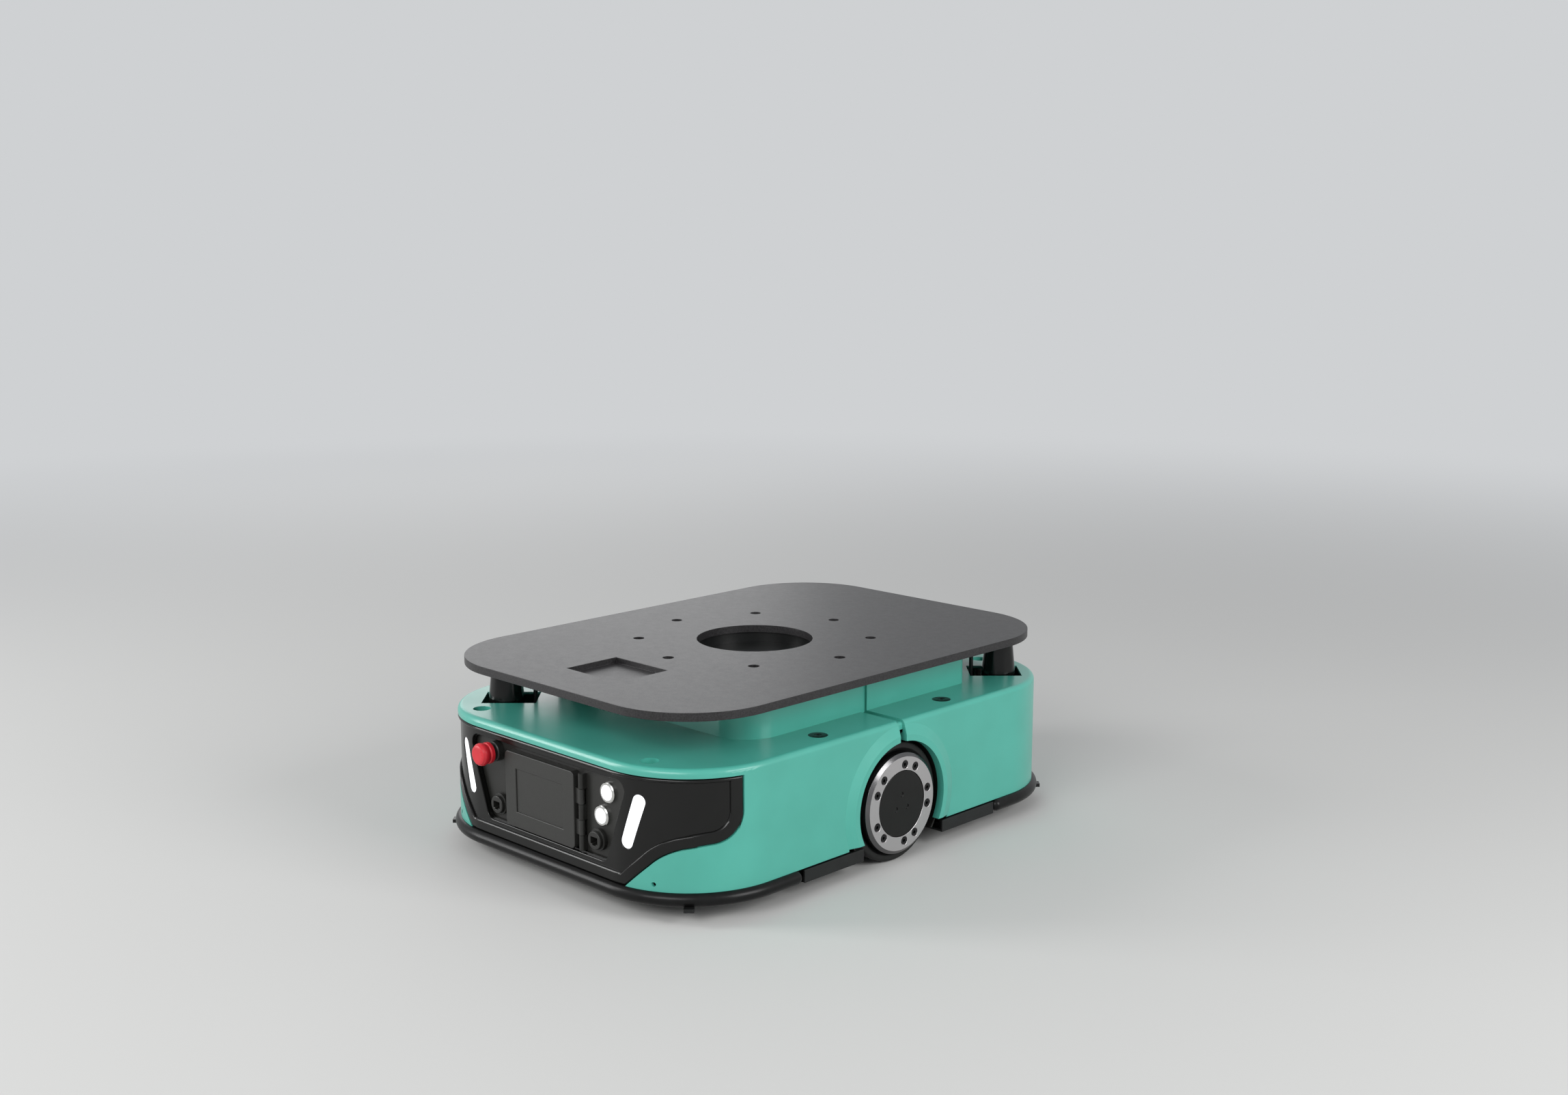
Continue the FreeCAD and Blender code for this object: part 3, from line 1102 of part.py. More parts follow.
def hub_disc():
    seat = RIM_FACE_X - RIM_RING_DEPTH
    radius = RIM_RING_INNER - DISC_CLEARANCE
    disc = rod(radius, (seat, 0, AXLE_Z), (1, 0, 0), DISC_THICKNESS)
    cuts = []
    for k in range(DISC_SCREW_COUNT):
        y, z = on_wheel(DISC_SCREW_CIRCLE, math.radians(90 + 360 * k / DISC_SCREW_COUNT))
        cuts.append(rod(DISC_SCREW_RADIUS, (seat + DISC_THICKNESS - DISC_SCREW_DEPTH, y, z), (1, 0, 0),
                        DISC_THICKNESS))
    return disc.cut(cuts)


def ring_screws():
    screws = []
    for angle in screw_ring_places():
        y, z = on_wheel(RING_SCREW_CIRCLE, angle)
        bottom = RIM_FACE_X - RING_BORE_DEPTH
        head = rod(RING_SCREW_RADIUS, (bottom, y, z), (1, 0, 0), RING_BORE_DEPTH - RING_SCREW_SINK)
        hexagon = [V(bottom + RING_SOCKET_FLOOR, y + RING_SOCKET_RADIUS * math.cos(a),
                     z + RING_SOCKET_RADIUS * math.sin(a)) for a in (math.radians(60 * n) for n in range(7))]
        screws.append(head.cut(Part.Face(Part.makePolygon(hexagon)).extrude(V(RING_BORE_DEPTH, 0, 0))))
    return Part.makeCompound(screws)


def hub_motor():
    """Gear motor on the frame wall with the spindle that the wheel turns on."""
    start = WALL_X + WALL_WALL / 2
    end = WELL_INNER_X + WELL_WALL
    shoulder = SPINDLE_RADIUS + SPINDLE_SHOULDER
    spindle_end = RIM_FACE_X - RIM_RING_DEPTH - SPINDLE_END_GAP
    outline = [(0, start), (MOTOR_FLANGE_RADIUS, start), (MOTOR_FLANGE_RADIUS, start + MOTOR_FLANGE),
               (MOTOR_RADIUS, start + MOTOR_FLANGE), (MOTOR_RADIUS, end + MOTOR_NOSE),
               (shoulder, end + MOTOR_NOSE), (shoulder, end + 2 * MOTOR_NOSE),
               (SPINDLE_RADIUS, end + 2 * MOTOR_NOSE), (SPINDLE_RADIUS, spindle_end),
               (0, spindle_end)]
    return turned(outline, (0, 0, AXLE_Z), (1, 0, 0))


def wheel_well():
    """Black liner between the wheel and the inside of the robot."""
    radius = ARCH_RADIUS + WELL_CLEARANCE - WELL_WALL
    outer_x = BODY_SIDE - ARCH_RETURN - WELL_FRONT_GAP
    liner = turned([(radius - WELL_WALL, WELL_INNER_X), (radius, WELL_INNER_X), (radius, outer_x),
                    (radius - WELL_WALL, outer_x)], (0, 0, AXLE_Z), (1, 0, 0))
    bore = MOTOR_RADIUS + CUTOUT_CLEARANCE
    back = turned([(bore, WELL_INNER_X), (radius, WELL_INNER_X), (radius, WELL_INNER_X + WELL_WALL),
                   (bore, WELL_INNER_X + WELL_WALL)], (0, 0, AXLE_Z), (1, 0, 0))
    return join(liner, back).cut(block(0, BIG, -BIG, BIG, -BIG, FLOOR_TOP))


# ---------------------------------------------------------------- casters
def caster_plate(x, y):
    half = CASTER_PLATE / 2
    top = CASTER_HEIGHT
    plate = block(x - half, x + half, y - half, y + half, top - CASTER_PLATE_WALL, top)
    head_top = top - CASTER_PLATE_WALL
    pin_length = CASTER_HEAD_HEIGHT + 2 * CASTER_FORK_WALL
    pin = rod(CASTER_PIN_RADIUS, (x, y, head_top), (0, 0, -1), pin_length)
    return join(plate, rod(CASTER_HEAD_RADIUS, (x, y, head_top), (0, 0, -1), CASTER_HEAD_HEIGHT), pin)


def caster_fork(x, y):
    """Swivelling fork with its axle. The wheel trails behind the pin."""
    half = CASTER_WHEEL_WIDTH / 2 + CASTER_FORK_GAP
    wall = CASTER_FORK_WALL
    top = CASTER_HEIGHT - CASTER_PLATE_WALL - CASTER_HEAD_HEIGHT - CASTER_HEAD_GAP
    axle_y = y + CASTER_TRAIL
    axle_z = CASTER_WHEEL_RADIUS
    crown = rod(CASTER_HEAD_RADIUS, (x, y, top - wall), (0, 0, 1), wall)
    lead = y - CASTER_FORK_LEAD
    cheek = top - CASTER_FORK_CHEEK
    foot_radius = CASTER_FOOT_RADIUS
    bridge = block(x - half - wall, x + half + wall, lead, axle_y, top - wall, top)
    outline = [(lead, top), (lead, cheek), (axle_y - foot_radius, axle_z), (axle_y + foot_radius, axle_z),
               (axle_y + foot_radius, cheek), (axle_y, top)]
    leg = outline_face(outline, "YZ").extrude(V(wall, 0, 0))
    foot = rod(foot_radius, (0, axle_y, axle_z), (1, 0, 0), wall)
    legs = []
    for start in (x - half - wall, x + half):
        for piece in (leg, foot):
            copy = piece.copy()
            copy.translate(V(start, 0, 0))
            legs.append(copy)
    reach = half + wall + CASTER_AXLE_PROUD
    axle = rod(CASTER_AXLE_RADIUS, (x - reach, axle_y, axle_z), (1, 0, 0), 2 * reach)
    bore = rod(CASTER_PIN_RADIUS + RUNNING_CLEARANCE, (x, y, top - 2 * wall), (0, 0, 1), 3 * wall)
    return join(crown, bridge, *legs, axle).cut(bore)


def caster_wheel(x, y):
    half = CASTER_WHEEL_WIDTH / 2
    r = CASTER_WHEEL_RADIUS
    bore = CASTER_AXLE_RADIUS + RUNNING_CLEARANCE
    hub, dish, rim = CASTER_WHEEL_HUB, CASTER_WHEEL_DISH, r - CASTER_TREAD
    side = [(bore, half), (hub, half), (hub + 2, half - dish), (rim - 1, half - dish), (rim, half),
            (r - dish, half), (r, half - dish - 1)]
    outline = [(radius, -along) for radius, along in side] + side[::-1]
    return turned(outline, (x, y + CASTER_TRAIL, r), (1, 0, 0))


# ---------------------------------------------------------------- battery and electronics
def battery():
    width, length, height = BATTERY
    top = FLOOR_TOP + height
    case = block(-width / 2, width / 2, BATTERY_FRONT_Y, BATTERY_FRONT_Y + length, FLOOR_TOP, top)
    case = case.makeFillet(BATTERY_CORNER, [e for e in case.Edges if e.BoundBox.ZLength > 1])
    outer = HANDLE_LENGTH / 2
    inner = outer - HANDLE_WALL
    front = BATTERY_FRONT_Y - HANDLE_REACH
    handle = block(-outer, outer, front, BATTERY_FRONT_Y + 2, top - 2 * HANDLE_HEIGHT, top - HANDLE_HEIGHT)
    grip = block(-inner, inner, front + HANDLE_GRIP, BATTERY_FRONT_Y, top - 3 * HANDLE_HEIGHT, top)
    return join(case, handle).cut(grip)


def motor_controller():
    width, length, height = CONTROLLER
    y0, y1 = CONTROLLER_FRONT_Y, CONTROLLER_FRONT_Y + length
    parts = [block(-width / 2, width / 2, y0, y1, FLOOR_TOP, FLOOR_TOP + height)]
    pitch = (width - FIN_WALL) / (FIN_COUNT - 1)
    for k in range(FIN_COUNT):
        x = -width / 2 + k * pitch
        parts.append(block(x, x + FIN_WALL, y0, y1, FLOOR_TOP + height, FLOOR_TOP + height + FIN_HEIGHT))
    return join(*parts)


# ---------------------------------------------------------------- the whole robot
def build():
    shell = whole_cover()
    tubes = [bumper(-1), bumper(1)]
    floor = base_plate()
    nodes = {
        "top_plate": top_plate(), "plate_collar": plate_collar(),
        "scanner_bases": Part.makeCompound([scanner_base(x, y) for _, x, y in SCANNERS]),
        "scanner_pads": Part.makeCompound([scanner_pad(x, y) for _, x, y in SCANNERS]),
        "plate_supports": plate_supports(),
        "front_cover": front_cover(shell), "rear_cover": rear_cover(shell),
        "finishing_washers": finishing_washers(), "cover_screws": cover_screws(),
        "front_fascia": front_fascia(), "instrument_panel": instrument_panel(),
        "charge_door": charge_door(), "door_hinge": door_hinge(), "charge_socket": charge_socket(),
        "estop_base": estop_base(), "estop_plunger": estop_plunger(), "estop_head": estop_head(),
        "base_plate": floor, "caster_shelves": caster_shelves(), "top_deck": top_deck(),
        "cover_standoffs": cover_standoffs(), "front_bumper": tubes[0], "rear_bumper": tubes[1],
        "bumper_clips": bumper_clips(tubes),
        "wheel_wells": Part.makeCompound(both_sides(wheel_well())),
        "caster_plates": Part.makeCompound([caster_plate(x, y) for _, x, y in caster_places()]),
        "battery": battery(), "motor_controller": motor_controller(),
    }
    for name, x, y in SCANNERS:
        nodes[f"{name}_scanner_head"] = scanner_head(x, y)
    for name, x, z in BUTTONS:
        nodes[f"{name}_button_bezel"] = button_bezel(x, z)
        nodes[f"{name}_button_cap"] = button_cap(x, z)
    for name, x, y in caster_places():
        nodes[f"{name}_caster_fork"] = caster_fork(x, y)
        nodes[f"{name}_caster_wheel"] = caster_wheel(x, y)
    for side, sign in SIDES:
        place = (lambda shape: shape) if sign > 0 else mirrored
        nodes[f"{side}_network_socket"] = network_socket(sign)
        nodes[f"{side}_lamp_lens"] = lamp_lens(sign)
        nodes[f"{side}_frame_wall"] = frame_wall(sign)
        skirts = [skirt(*span, sign) for span in (FRONT_SKIRT, REAR_SKIRT)]
        nodes[f"{side}_skirts"] = Part.makeCompound(skirts)
        nodes[f"{side}_tyre"] = place(drive_tyre())
        nodes[f"{side}_wheel_rim"] = place(wheel_rim())
        nodes[f"{side}_hub_disc"] = place(hub_disc())
        nodes[f"{side}_ring_screws"] = place(ring_screws())
        nodes[f"{side}_hub_motor"] = place(hub_motor())
    return nodes


def main():
    os.makedirs("parts", exist_ok=True)
    for name, shape in build().items():
        shape.exportStep(f"parts/{name}.step")
        volume = shape.Volume / 1000
        print(f"{name:24s} solids {len(shape.Solids)}  volume {volume:9.1f} cm3  valid {shape.isValid()}")


main()
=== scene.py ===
import json
import math

import bmesh
import bpy
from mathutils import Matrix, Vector

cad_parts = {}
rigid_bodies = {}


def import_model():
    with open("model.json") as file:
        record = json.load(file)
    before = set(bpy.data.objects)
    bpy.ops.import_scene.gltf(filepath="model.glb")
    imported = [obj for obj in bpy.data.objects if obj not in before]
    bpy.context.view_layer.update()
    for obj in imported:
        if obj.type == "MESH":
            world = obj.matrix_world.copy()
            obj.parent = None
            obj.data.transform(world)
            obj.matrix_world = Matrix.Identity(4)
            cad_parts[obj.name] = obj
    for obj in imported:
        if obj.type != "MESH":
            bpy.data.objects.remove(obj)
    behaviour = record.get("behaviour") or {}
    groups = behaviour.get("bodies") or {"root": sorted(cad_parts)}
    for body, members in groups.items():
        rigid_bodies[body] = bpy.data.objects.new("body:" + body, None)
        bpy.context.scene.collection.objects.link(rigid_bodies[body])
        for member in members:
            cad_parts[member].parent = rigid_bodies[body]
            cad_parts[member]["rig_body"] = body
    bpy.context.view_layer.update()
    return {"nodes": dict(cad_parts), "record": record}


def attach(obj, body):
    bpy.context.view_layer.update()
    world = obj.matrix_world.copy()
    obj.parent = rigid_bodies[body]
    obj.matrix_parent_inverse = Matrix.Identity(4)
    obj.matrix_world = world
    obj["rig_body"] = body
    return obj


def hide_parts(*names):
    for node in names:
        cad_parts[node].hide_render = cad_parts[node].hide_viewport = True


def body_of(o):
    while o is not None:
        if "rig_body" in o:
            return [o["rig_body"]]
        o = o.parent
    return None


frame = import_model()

nodes = frame["nodes"]
MM = 0.001

# The body's outline in millimetres: half its length, half its width and its corners' radius.
BODY_END = 350.0
BODY_SIDE = 250.0
BODY_CORNER = 125.0

# The drive wheel in millimetres: its axle's height, its rim's radius, the width of the rim's bevel,
# and how much nearer to the axle a face may lie and still belong to that bevel.
WHEEL_AXLE_Z = 75.0
WHEEL_RIM_RADIUS = 63.0
WHEEL_RIM_BEVEL = 4.5
WHEEL_RIM_SLACK = 0.1
# The part of a face's normal along the axle from which the face belongs to a flat ring.
FLAT_RING_TURN = 0.97

# Depths inside the body's outline, in millimetres, between which the outer edges lie of the fascia's
# rim, of its face with the window and lamp slots, and of the charging door.
FASCIA_RIM_DEPTHS = (-0.2, 0.3)
FASCIA_FACE_DEPTHS = (2.7, 3.6)
DOOR_DEPTHS = (0.7, 1.3)
# The rounding that those edges get, in millimetres.
FASCIA_RIM_ROUND = 2.7
FASCIA_FACE_ROUND = 1.2
DOOR_ROUND = 1.0

# Width in millimetres of the rounding that the sharp edges of other nodes get.
EDGES = {
    "top_plate": 0.5, "instrument_panel": 0.3, "estop_head": 0.6, "battery": 1.5, "scanner_bases": 0.3,
    "left_skirts": 0.4, "right_skirts": 0.4, "left_network_socket": 0.4, "right_network_socket": 0.4,
    "left_tyre": 0.6, "right_tyre": 0.6, "left_wheel_rim": 0.4, "right_wheel_rim": 0.4,
    "left_hub_disc": 0.5, "right_hub_disc": 0.5,
}
# Flat strips that make one rounded edge: on the fascia and the door, and on the other nodes.
ROUND_SEGMENTS = 5
EDGE_SEGMENTS = 3

# Corners nearer than this are one corner, in millimetres.
MERGE_GAP = 0.002
# Angles in degrees: faces flatter than this to each other are one face, edges sharper than this are
# rounded, and edges softer than this are shaded smooth. The flares over the covers' wheel arches are
# shallow, so the covers have a smaller angle that keeps them crisp.
FLAT_ANGLE = 0.5
SHARP_ANGLE = 40.0
SMOOTH_ANGLE = 32.0
COVER_SMOOTH_ANGLE = 9.0
COVERS = ("front_cover", "rear_cover")

# The studio: the background's colour, the colour and level of the light from all round, and in metres
# the floor's side and the distances between which the floor fades into the background.
BACKDROP = "#cfd1d3"
SKY = "#e8eaee"
SKY_LEVEL = 0.45
FLOOR_SIZE = 30.0
FLOOR_FADE_START = 0.9
FLOOR_FADE_END = 4.5
# Soft boxes: name, place, point aimed at, width and height in metres, power in watts.
SOFT_BOXES = (
    ("key_softbox", (3.0, 0.5, 1.5), (0, 0, 0.1), 1.6, 1.6, 64),
    ("front_softbox", (0.9, -3.0, 1.9), (0, 0, 0.1), 2.2, 1.2, 55),
    ("left_softbox", (-2.2, -2.2, 1.3), (0, -0.3, 0.1), 0.8, 2.2, 52),
    ("back_softbox", (-3.2, 1.75, 1.25), (0, 0, 0.2), 2.4, 1.3, 15),
)
# The camera: lens and sensor in millimetres, place in millimetres, downward tilt and turn in degrees.
CAMERA_LENS = 41.53
CAMERA_SENSOR = 36.0
CAMERA_PLACE = (1627.85, -1601.54, 773.88)
CAMERA_TILT = 10.301
CAMERA_TURN = 44.517
CAMERA_REACH = 100.0


# ---------------------------------------------------------------- materials
def linear(code):
    """An sRGB hex colour as linear values, opaque."""
    values = [int(code[k:k + 2], 16) / 255 for k in (1, 3, 5)]
    steps = [v / 12.92 if v <= 0.04045 else ((v + 0.055) / 1.055) ** 2.4 for v in values]
    return (*steps, 1.0)


def add(tree, kind, settings=None, links=None):
    """A node with its socket values or settings, and links from other nodes' outputs."""
    node = tree.nodes.new(kind)
    for name, value in (settings or {}).items():
        if name in node.inputs:
            node.inputs[name].default_value = value
        else:
            setattr(node, name, value)
    for name, source in (links or {}).items():
        tree.links.new(source, node.inputs[name])
    return node


def material(name, colour, roughness, metallic=0.0, **extra):
    """A plain surface to start from: its principled shader's sockets are set here."""
    made = bpy.data.materials.new(name)
    made.use_nodes = True
    shader = made.node_tree.nodes["Principled BSDF"]
    shader.inputs["Base Color"].default_value = linear(colour)
    shader.inputs["Roughness"].default_value = roughness
    shader.inputs["Metallic"].default_value = metallic
    for socket, value in extra.items():
        shader.inputs[socket.replace("_", " ")].default_value = value
    return made, made.node_tree, shader


def mottle(tree, shader, light, dark, size):
    """Two close tones, mixed by noise whose blotches are size millimetres across.

    It returns the coordinates node, for the patterns that follow."""
    place = add(tree, "ShaderNodeTexCoord")
    noise = add(tree, "ShaderNodeTexNoise", {"Scale": 1000 / size, "Detail": 3.0},
                {"Vector": place.outputs["Object"]})
    ramp = add(tree, "ShaderNodeValToRGB", links={"Fac": noise.outputs["Fac"]})
    dark_stop, light_stop = ramp.color_ramp.elements
    dark_stop.position = 0.35
    light_stop.position = 0.65
    dark_stop.color = linear(dark)
    light_stop.color = linear(light)
    tree.links.new(ramp.outputs["Color"], shader.inputs["Base Color"])
    return place


def grain(tree, shader, place, size, height):
    """Fine relief: bumps size millimetres across and height millimetres high."""
    noise = add(tree, "ShaderNodeTexNoise", {"Scale": 1000 / size, "Detail": 2.0},
                {"Vector": place.outputs["Object"]})
    bump = add(tree, "ShaderNodeBump", {"Strength": 1.0, "Distance": height * MM},
               {"Height": noise.outputs["Fac"]})
    tree.links.new(bump.outputs["Normal"], shader.inputs["Normal"])


def vary_roughness(tree, shader, place, low, high, size):
    """Roughness that wanders between two values over patches size millimetres across."""
    noise = add(tree, "ShaderNodeTexNoise", {"Scale": 1000 / size, "Detail": 4.0},
                {"Vector": place.outputs["Object"]})
    span = add(tree, "ShaderNodeMapRange",
               {"From Min": 0.3, "From Max": 0.7, "To Min": low, "To Max": high},
               {"Value": noise.outputs["Fac"]})
    tree.links.new(span.outputs["Result"], shader.inputs["Roughness"])


def lacquered_covers():
    # Moulded covers under two-pack lacquer: even teal, soft gloss, orange peel 3 mm across.
    made, tree, shader = material("lacquered_covers", "#4aa696", 0.34,
                                  Coat_Weight=0.25, Coat_Roughness=0.18)
    place = mottle(tree, shader, "#4ba898", "#48a393", 60)
    grain(tree, shader, place, 3.0, 0.012)
    vary_roughness(tree, shader, place, 0.31, 0.38, 90)
    return made


def powder_coated_plate():
    # Steel plate under fine-textured dark grey powder coat: a speckle, and a sheen at a low angle.
    # The powder's grains are about 0.3 mm across and are drawn at 1.8 mm so that they show.
    made, tree, shader = material("powder_coated_plate", "#262526", 0.4, Specular_IOR_Level=0.35)
    place = mottle(tree, shader, "#302f30", "#1c1b1c", 1.8)
    grain(tree, shader, place, 1.4, 0.05)
    vary_roughness(tree, shader, place, 0.385, 0.415, 9)
    return made


def smoked_polycarbonate():
    # Scanner hoods of moulded black polycarbonate: deep colour and sharp upright streaks of light.
    made, tree, shader = material("smoked_polycarbonate", "#0d0d0c", 0.14, Specular_IOR_Level=0.3)
    place = mottle(tree, shader, "#0f0f0e", "#0b0b0a", 20)
    vary_roughness(tree, shader, place, 0.1, 0.15, 30)
    return made


def moulded_abs_black():
    # Black ABS moulded in a polished mould: warm black, long soft reflections, light on rolled edges.
    made, tree, shader = material("moulded_abs_black", "#0a0a09", 0.22, Specular_IOR_Level=0.34)
    place = mottle(tree, shader, "#0b0b0a", "#090908", 25)
    vary_roughness(tree, shader, place, 0.2, 0.24, 70)
    return made


def panel_laminate():
    # Dark laminate film over aluminium sheet: matt, with a grain of about 1 mm.
    made, tree, shader = material("panel_laminate", "#242422", 0.4, Specular_IOR_Level=0.35)
    place = mottle(tree, shader, "#262624", "#222220", 1.5)
    grain(tree, shader, place, 0.8, 0.01)
    return made


def door_abs():
    # ABS door from an etched mould: matt, and a little greyer than the fascia.
    made, tree, shader = material("door_abs", "#2c2c2a", 0.4, Specular_IOR_Level=0.4)
    place = mottle(tree, shader, "#2e2e2c", "#2a2a28", 1.5)
    grain(tree, shader, place, 0.8, 0.012)
    return made


def black_chassis_paint():
    # Satin black paint on folded steel: even black with a low shine, slight waves 2 mm across.
    made, tree, shader = material("black_chassis_paint", "#141515", 0.34, Specular_IOR_Level=0.35)
    place = mottle(tree, shader, "#171818", "#111212", 18)
    grain(tree, shader, place, 2.0, 0.012)
    return made


def tube_rubber():
    # Extruded black rubber tube: a smooth skin that shows one soft line of light.
    made, tree, shader = material("tube_rubber", "#0c0c0c", 0.32, Specular_IOR_Level=0.2)
    place = mottle(tree, shader, "#121212", "#0d0d0d", 9)
    grain(tree, shader, place, 1.0, 0.01)
    return made


def tread_polyurethane():
    # Cast black polyurethane tread: dull and nearly even.
    made, tree, shader = material("tread_polyurethane", "#121312", 0.55, Specular_IOR_Level=0.3)
    place = mottle(tree, shader, "#151615", "#0f100f", 7)
    grain(tree, shader, place, 1.1, 0.02)
    return made


def turned_aluminium():
    # Rim turned from aluminium: circular lathe lines that spread the highlight.
    # The lines are about 0.2 mm apart and are drawn coarser so that they show.
    made, tree, shader = material("turned_aluminium", "#c9c6c7", 0.3, 1.0)
    place = add(tree, "ShaderNodeTexCoord")
    centred = add(tree, "ShaderNodeMapping", {"Location": (0.0, 0.0, -WHEEL_AXLE_Z * MM)},
                  {"Vector": place.outputs["Object"]})
    rings = add(tree, "ShaderNodeTexWave",
                {"wave_type": "RINGS", "rings_direction": "X", "Scale": 160.0, "Distortion": 0.4,
                 "Detail": 1.0},
                {"Vector": centred.outputs["Vector"]})
    bump = add(tree, "ShaderNodeBump", {"Strength": 0.35, "Distance": 0.01 * MM},
               {"Height": rings.outputs["Fac"]})
    tree.links.new(bump.outputs["Normal"], shader.inputs["Normal"])
    vary_roughness(tree, shader, place, 0.28, 0.31, 3)
    return made


def painted_shade_bevel():
    # The rim's bevel: the same aluminium with its colour darkened as painted shade for the dark
    # reflections on the cone; still bright where it faces a light.
    made, tree, shader = material("painted_shade_bevel", "#6b6a6b", 0.22, 1.0)
    place = add(tree, "ShaderNodeTexCoord")
    vary_roughness(tree, shader, place, 0.2, 0.25, 4)
    return made


def bright_steel():
    # Zinc-plated sheet and turned steel parts: light grey metal with a faint cloudiness.
    made, tree, shader = material("bright_steel", "#b9bab8", 0.32, 1.0)
    place = mottle(tree, shader, "#c2c3c1", "#acadab", 6)
    grain(tree, shader, place, 0.7, 0.008)
    return made


def polished_nickel():
    # Nickel-plated switch bezels: a narrow bright ring round each lit cap.
    made, tree, shader = material("polished_nickel", "#cfcfcc", 0.16, 1.0)
    place = add(tree, "ShaderNodeTexCoord")
    vary_roughness(tree, shader, place, 0.13, 0.22, 5)
    return made


def black_oxide_steel():
    # Steel screws in black oxide: near-black metal with a dull shine.
    made, tree, shader = material("black_oxide_steel", "#2a2a2b", 0.38, 0.8)
    place = mottle(tree, shader, "#303031", "#242425", 3)
    grain(tree, shader, place, 0.6, 0.01)
    return made


def signal_red_abs():
    # Moulded ABS head in signal red with a soft shine.
    made, tree, shader = material("signal_red_abs", "#c8202a", 0.36)
    place = mottle(tree, shader, "#cb212e", "#c01c29", 12)
    grain(tree, shader, place, 2.0, 0.01)
    return made


def opal_lens():
    # Opal acrylic lens lit from behind: white and glowing.
    made, tree, shader = material("opal_lens", "#f6f7f8", 0.2, Emission_Strength=0.75)
    shader.inputs["Emission Color"].default_value = linear("#f8fbff")
    mottle(tree, shader, "#f9fafb", "#f1f2f4", 10)
    return made


def nylon_dark():
    # Glass-filled nylon for the battery's case and the casters' treads: dark grey and dull.
    made, tree, shader = material("nylon_dark", "#2b2c2e", 0.55)
    place = mottle(tree, shader, "#303133", "#262729", 5)
    grain(tree, shader, place, 1.0, 0.02)
    return made


def cast_aluminium():
    # Sand-blasted cast aluminium for the controller's heat sink: pale, matt metal.
    made, tree, shader = material("cast_aluminium", "#9a9b9c", 0.5, 1.0)
    place = mottle(tree, shader, "#a2a3a4", "#929394", 4)
    grain(tree, shader, place, 0.8, 0.02)
    return made


dark_nylon = nylon_dark()
FINISHES = {
    "teal_cover": lacquered_covers(),
    "plate_grey": powder_coated_plate(),
    "gloss_black": smoked_polycarbonate(),
    "fascia_black": moulded_abs_black(),
    "panel_black": panel_laminate(),
    "door_black": door_abs(),
    "black_metal": black_chassis_paint(),
    "black_rubber": tube_rubber(),
    "tyre": tread_polyurethane(),
    "rim_alloy": turned_aluminium(),
    "steel": bright_steel(),
    "switch_metal": polished_nickel(),
    "dark_screw": black_oxide_steel(),
    "signal_red": signal_red_abs(),
    "white_lens": opal_lens(),
    "caster_tread": dark_nylon,
    "battery_case": dark_nylon,
    "heat_sink": cast_aluminium(),
}


# ---------------------------------------------------------------- pieces from the CAD solids
def select_only(piece):
    """Make one piece the only selected object and the active one."""
    for other in bpy.context.view_layer.objects:
        other.select_set(False)
    piece.select_set(True)
    bpy.context.view_layer.objects.active = piece


def body_depth(point):
    """How far a point lies inside the body's outline, in millimetres."""
    x = max(abs(point.x) / MM - (BODY_SIDE - BODY_CORNER), 0.0)
    y = max(abs(point.y) / MM - (BODY_END - BODY_CORNER), 0.0)
    return BODY_CORNER - math.hypot(x, y)


def soften(piece, depths, width):
    """Round the sharp outer edges that lie between two depths inside the body's outline."""
    low, high = depths
    select_only(piece)
    bpy.ops.object.mode_set(mode="EDIT")
    bpy.ops.mesh.select_mode(type="EDGE")
    bpy.ops.mesh.select_all(action="DESELECT")
    mesh = bmesh.from_edit_mesh(piece.data)
    for line in mesh.edges:
        if len(line.link_faces) != 2 or not line.is_convex:
            continue
        if line.calc_face_angle() > math.radians(SHARP_ANGLE):
            line.select = all(low <= body_depth(end.co) <= high for end in line.verts)
    bmesh.update_edit_mesh(piece.data)
    bpy.ops.mesh.bevel(offset=width * MM, segments=ROUND_SEGMENTS, profile=0.5, affect="EDGES",
                       clamp_overlap=False)
    bpy.ops.object.mode_set(mode="OBJECT")


def fascia_edges(piece):
    """Roll the edges of the rim, and less those of the window and the lamp slots."""
    soften(piece, FASCIA_RIM_DEPTHS, FASCIA_RIM_ROUND)
    soften(piece, FASCIA_FACE_DEPTHS, FASCIA_FACE_ROUND)


def door_edges(piece):
    """Round the edges of the door's face."""
    soften(piece, DOOR_DEPTHS, DOOR_ROUND)


def rim_bevel(piece):
    """Give the cone between the rim's front ring and its barrel a darker copy of the aluminium, as
    painted shade.
    """
    piece.data.materials.append(FINISHES["rim_alloy"])
    piece.data.materials.append(painted_shade_bevel())
    inner = WHEEL_RIM_RADIUS - WHEEL_RIM_BEVEL - WHEEL_RIM_SLACK
    for face in piece.data.polygons:
        radius = math.hypot(face.center.y, face.center.z - WHEEL_AXLE_Z * MM) / MM
        if radius > inner and abs(face.normal.x) < FLAT_RING_TURN:
            face.material_index = 1


SHAPED = {"front_fascia": fascia_edges, "charge_door": door_edges}
TWO_TONE = {"left_wheel_rim": rim_bevel, "right_wheel_rim": rim_bevel}


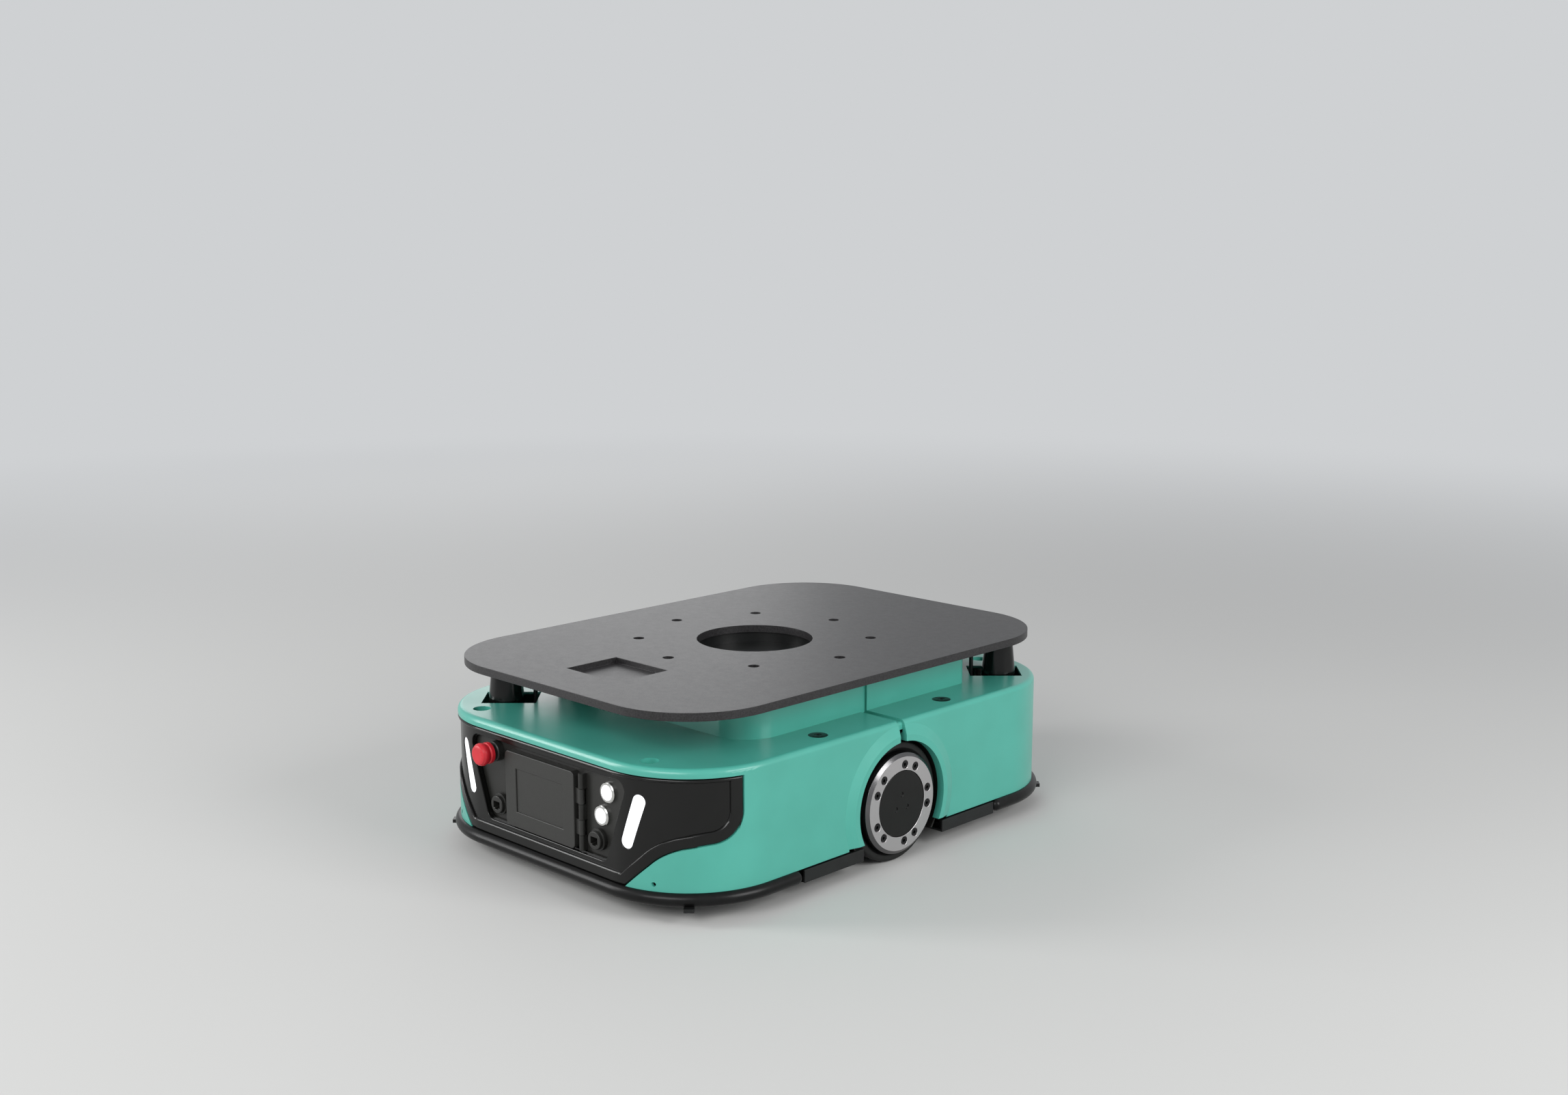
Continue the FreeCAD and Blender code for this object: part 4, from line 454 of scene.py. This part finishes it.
def dressed_copy(node, slot):
    """A merged copy of a CAD node with rounded edges and its finish, shown in its place."""
    edge = EDGES.get(node, 0.0)
    smooth = COVER_SMOOTH_ANGLE if node in COVERS else SMOOTH_ANGLE
    piece = nodes[node].copy()
    piece.data = nodes[node].data.copy()
    piece.name = f"{node}_dressed"
    for key in list(piece.keys()):
        if key.startswith("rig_"):
            del piece[key]
    piece.parent = None
    bpy.context.scene.collection.objects.link(piece)
    select_only(piece)
    bpy.ops.object.mode_set(mode="EDIT")
    bpy.ops.mesh.select_all(action="SELECT")
    bpy.ops.mesh.remove_doubles(threshold=MERGE_GAP * MM)
    bpy.ops.mesh.customdata_custom_splitnormals_clear()
    if edge or node in SHAPED:
        bpy.ops.mesh.dissolve_limited(angle_limit=math.radians(FLAT_ANGLE))
    bpy.ops.object.mode_set(mode="OBJECT")
    if node in SHAPED:
        SHAPED[node](piece)
    elif edge:
        bevel = piece.modifiers.new("edge", "BEVEL")
        bevel.width = edge * MM
        bevel.segments = EDGE_SEGMENTS
        bevel.limit_method = "ANGLE"
        bevel.angle_limit = math.radians(SHARP_ANGLE)
        bevel.use_clamp_overlap = True
        bpy.ops.object.modifier_apply(modifier="edge")
    bpy.ops.object.shade_smooth_by_angle(angle=math.radians(smooth))
    weigh = piece.modifiers.new("flat_faces", "WEIGHTED_NORMAL")
    weigh.keep_sharp = True
    bpy.ops.object.modifier_apply(modifier="flat_faces")
    piece.data.materials.clear()
    if node in TWO_TONE:
        TWO_TONE[node](piece)
    else:
        piece.data.materials.append(FINISHES[slot])
    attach(piece, body_of(nodes[node])[0])
    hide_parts(node)


for part in frame["record"]["subparts"]:
    dressed_copy(part["node"], part["material_slot"])


# ---------------------------------------------------------------- floor, light and camera
def shown_ray(tree):
    """1 for the rays that show the backdrop itself: camera, glossy and transmission rays."""
    path = add(tree, "ShaderNodeLightPath")
    glossy = add(tree, "ShaderNodeMath", {"operation": "MAXIMUM"})
    tree.links.new(path.outputs["Is Camera Ray"], glossy.inputs[0])
    tree.links.new(path.outputs["Is Glossy Ray"], glossy.inputs[1])
    clear = add(tree, "ShaderNodeMath", {"operation": "MAXIMUM"})
    tree.links.new(glossy.outputs["Value"], clear.inputs[0])
    tree.links.new(path.outputs["Is Transmission Ray"], clear.inputs[1])
    return clear.outputs["Value"]


def studio_floor():
    """A pale floor that fades into the background's colour away from the robot."""
    bpy.ops.mesh.primitive_plane_add(size=FLOOR_SIZE, location=(0, 0, 0))
    floor = bpy.context.object
    floor.name = "studio_floor"
    made, tree, shader = material("pale_floor", "#c8c8c6", 0.8)
    place = add(tree, "ShaderNodeTexCoord")
    reach = add(tree, "ShaderNodeVectorMath", {"operation": "LENGTH"},
                {"Vector": place.outputs["Object"]})
    far = add(tree, "ShaderNodeMapRange",
              {"From Min": FLOOR_FADE_START, "From Max": FLOOR_FADE_END,
               "interpolation_type": "SMOOTHSTEP"},
              {"Value": reach.outputs["Value"]})
    seen = add(tree, "ShaderNodeMath", {"operation": "MULTIPLY"})
    tree.links.new(far.outputs["Result"], seen.inputs[0])
    tree.links.new(shown_ray(tree), seen.inputs[1])
    glow = add(tree, "ShaderNodeEmission", {"Color": linear(BACKDROP)})
    blend = add(tree, "ShaderNodeMixShader", links={"Fac": seen.outputs["Value"]})
    tree.links.new(shader.outputs["BSDF"], blend.inputs[1])
    tree.links.new(glow.outputs["Emission"], blend.inputs[2])
    tree.links.new(blend.outputs["Shader"], tree.nodes["Material Output"].inputs["Surface"])
    floor.data.materials.append(made)


def studio_world():
    """Even pale light all round, and the backdrop's colour where the world itself is seen."""
    world = bpy.data.worlds.new("studio")
    bpy.context.scene.world = world
    world.use_nodes = True
    tree = world.node_tree
    light = tree.nodes["Background"]
    light.inputs["Color"].default_value = linear(SKY)
    light.inputs["Strength"].default_value = SKY_LEVEL
    shown = add(tree, "ShaderNodeBackground", {"Color": linear(BACKDROP), "Strength": 1.0})
    blend = add(tree, "ShaderNodeMixShader", links={"Fac": shown_ray(tree)})
    tree.links.new(light.outputs["Background"], blend.inputs[1])
    tree.links.new(shown.outputs["Background"], blend.inputs[2])
    tree.links.new(blend.outputs["Shader"], tree.nodes["World Output"].inputs["Surface"])


def soft_box(name, place, aim, width, height, power):
    """A rectangular area light that faces a point."""
    light = bpy.data.lights.new(name, "AREA")
    light.shape = "RECTANGLE"
    light.size = width
    light.size_y = height
    light.energy = power
    lamp = bpy.data.objects.new(name, light)
    lamp.location = place
    lamp.rotation_euler = (Vector(aim) - Vector(place)).to_track_quat("-Z", "Y").to_euler()
    bpy.context.scene.collection.objects.link(lamp)


def camera():
    """The three-quarter view from above the panel's right."""
    data = bpy.data.cameras.new("studio_camera")
    data.lens = CAMERA_LENS
    data.sensor_width = CAMERA_SENSOR
    data.clip_end = CAMERA_REACH
    cam = bpy.data.objects.new("studio_camera", data)
    cam.location = Vector(CAMERA_PLACE) * MM
    cam.rotation_euler = (math.radians(90 - CAMERA_TILT), 0, math.radians(CAMERA_TURN))
    bpy.context.scene.collection.objects.link(cam)
    bpy.context.scene.camera = cam


studio_floor()
studio_world()
for box in SOFT_BOXES:
    soft_box(*box)
camera()
bpy.context.scene.view_settings.view_transform = "Standard"
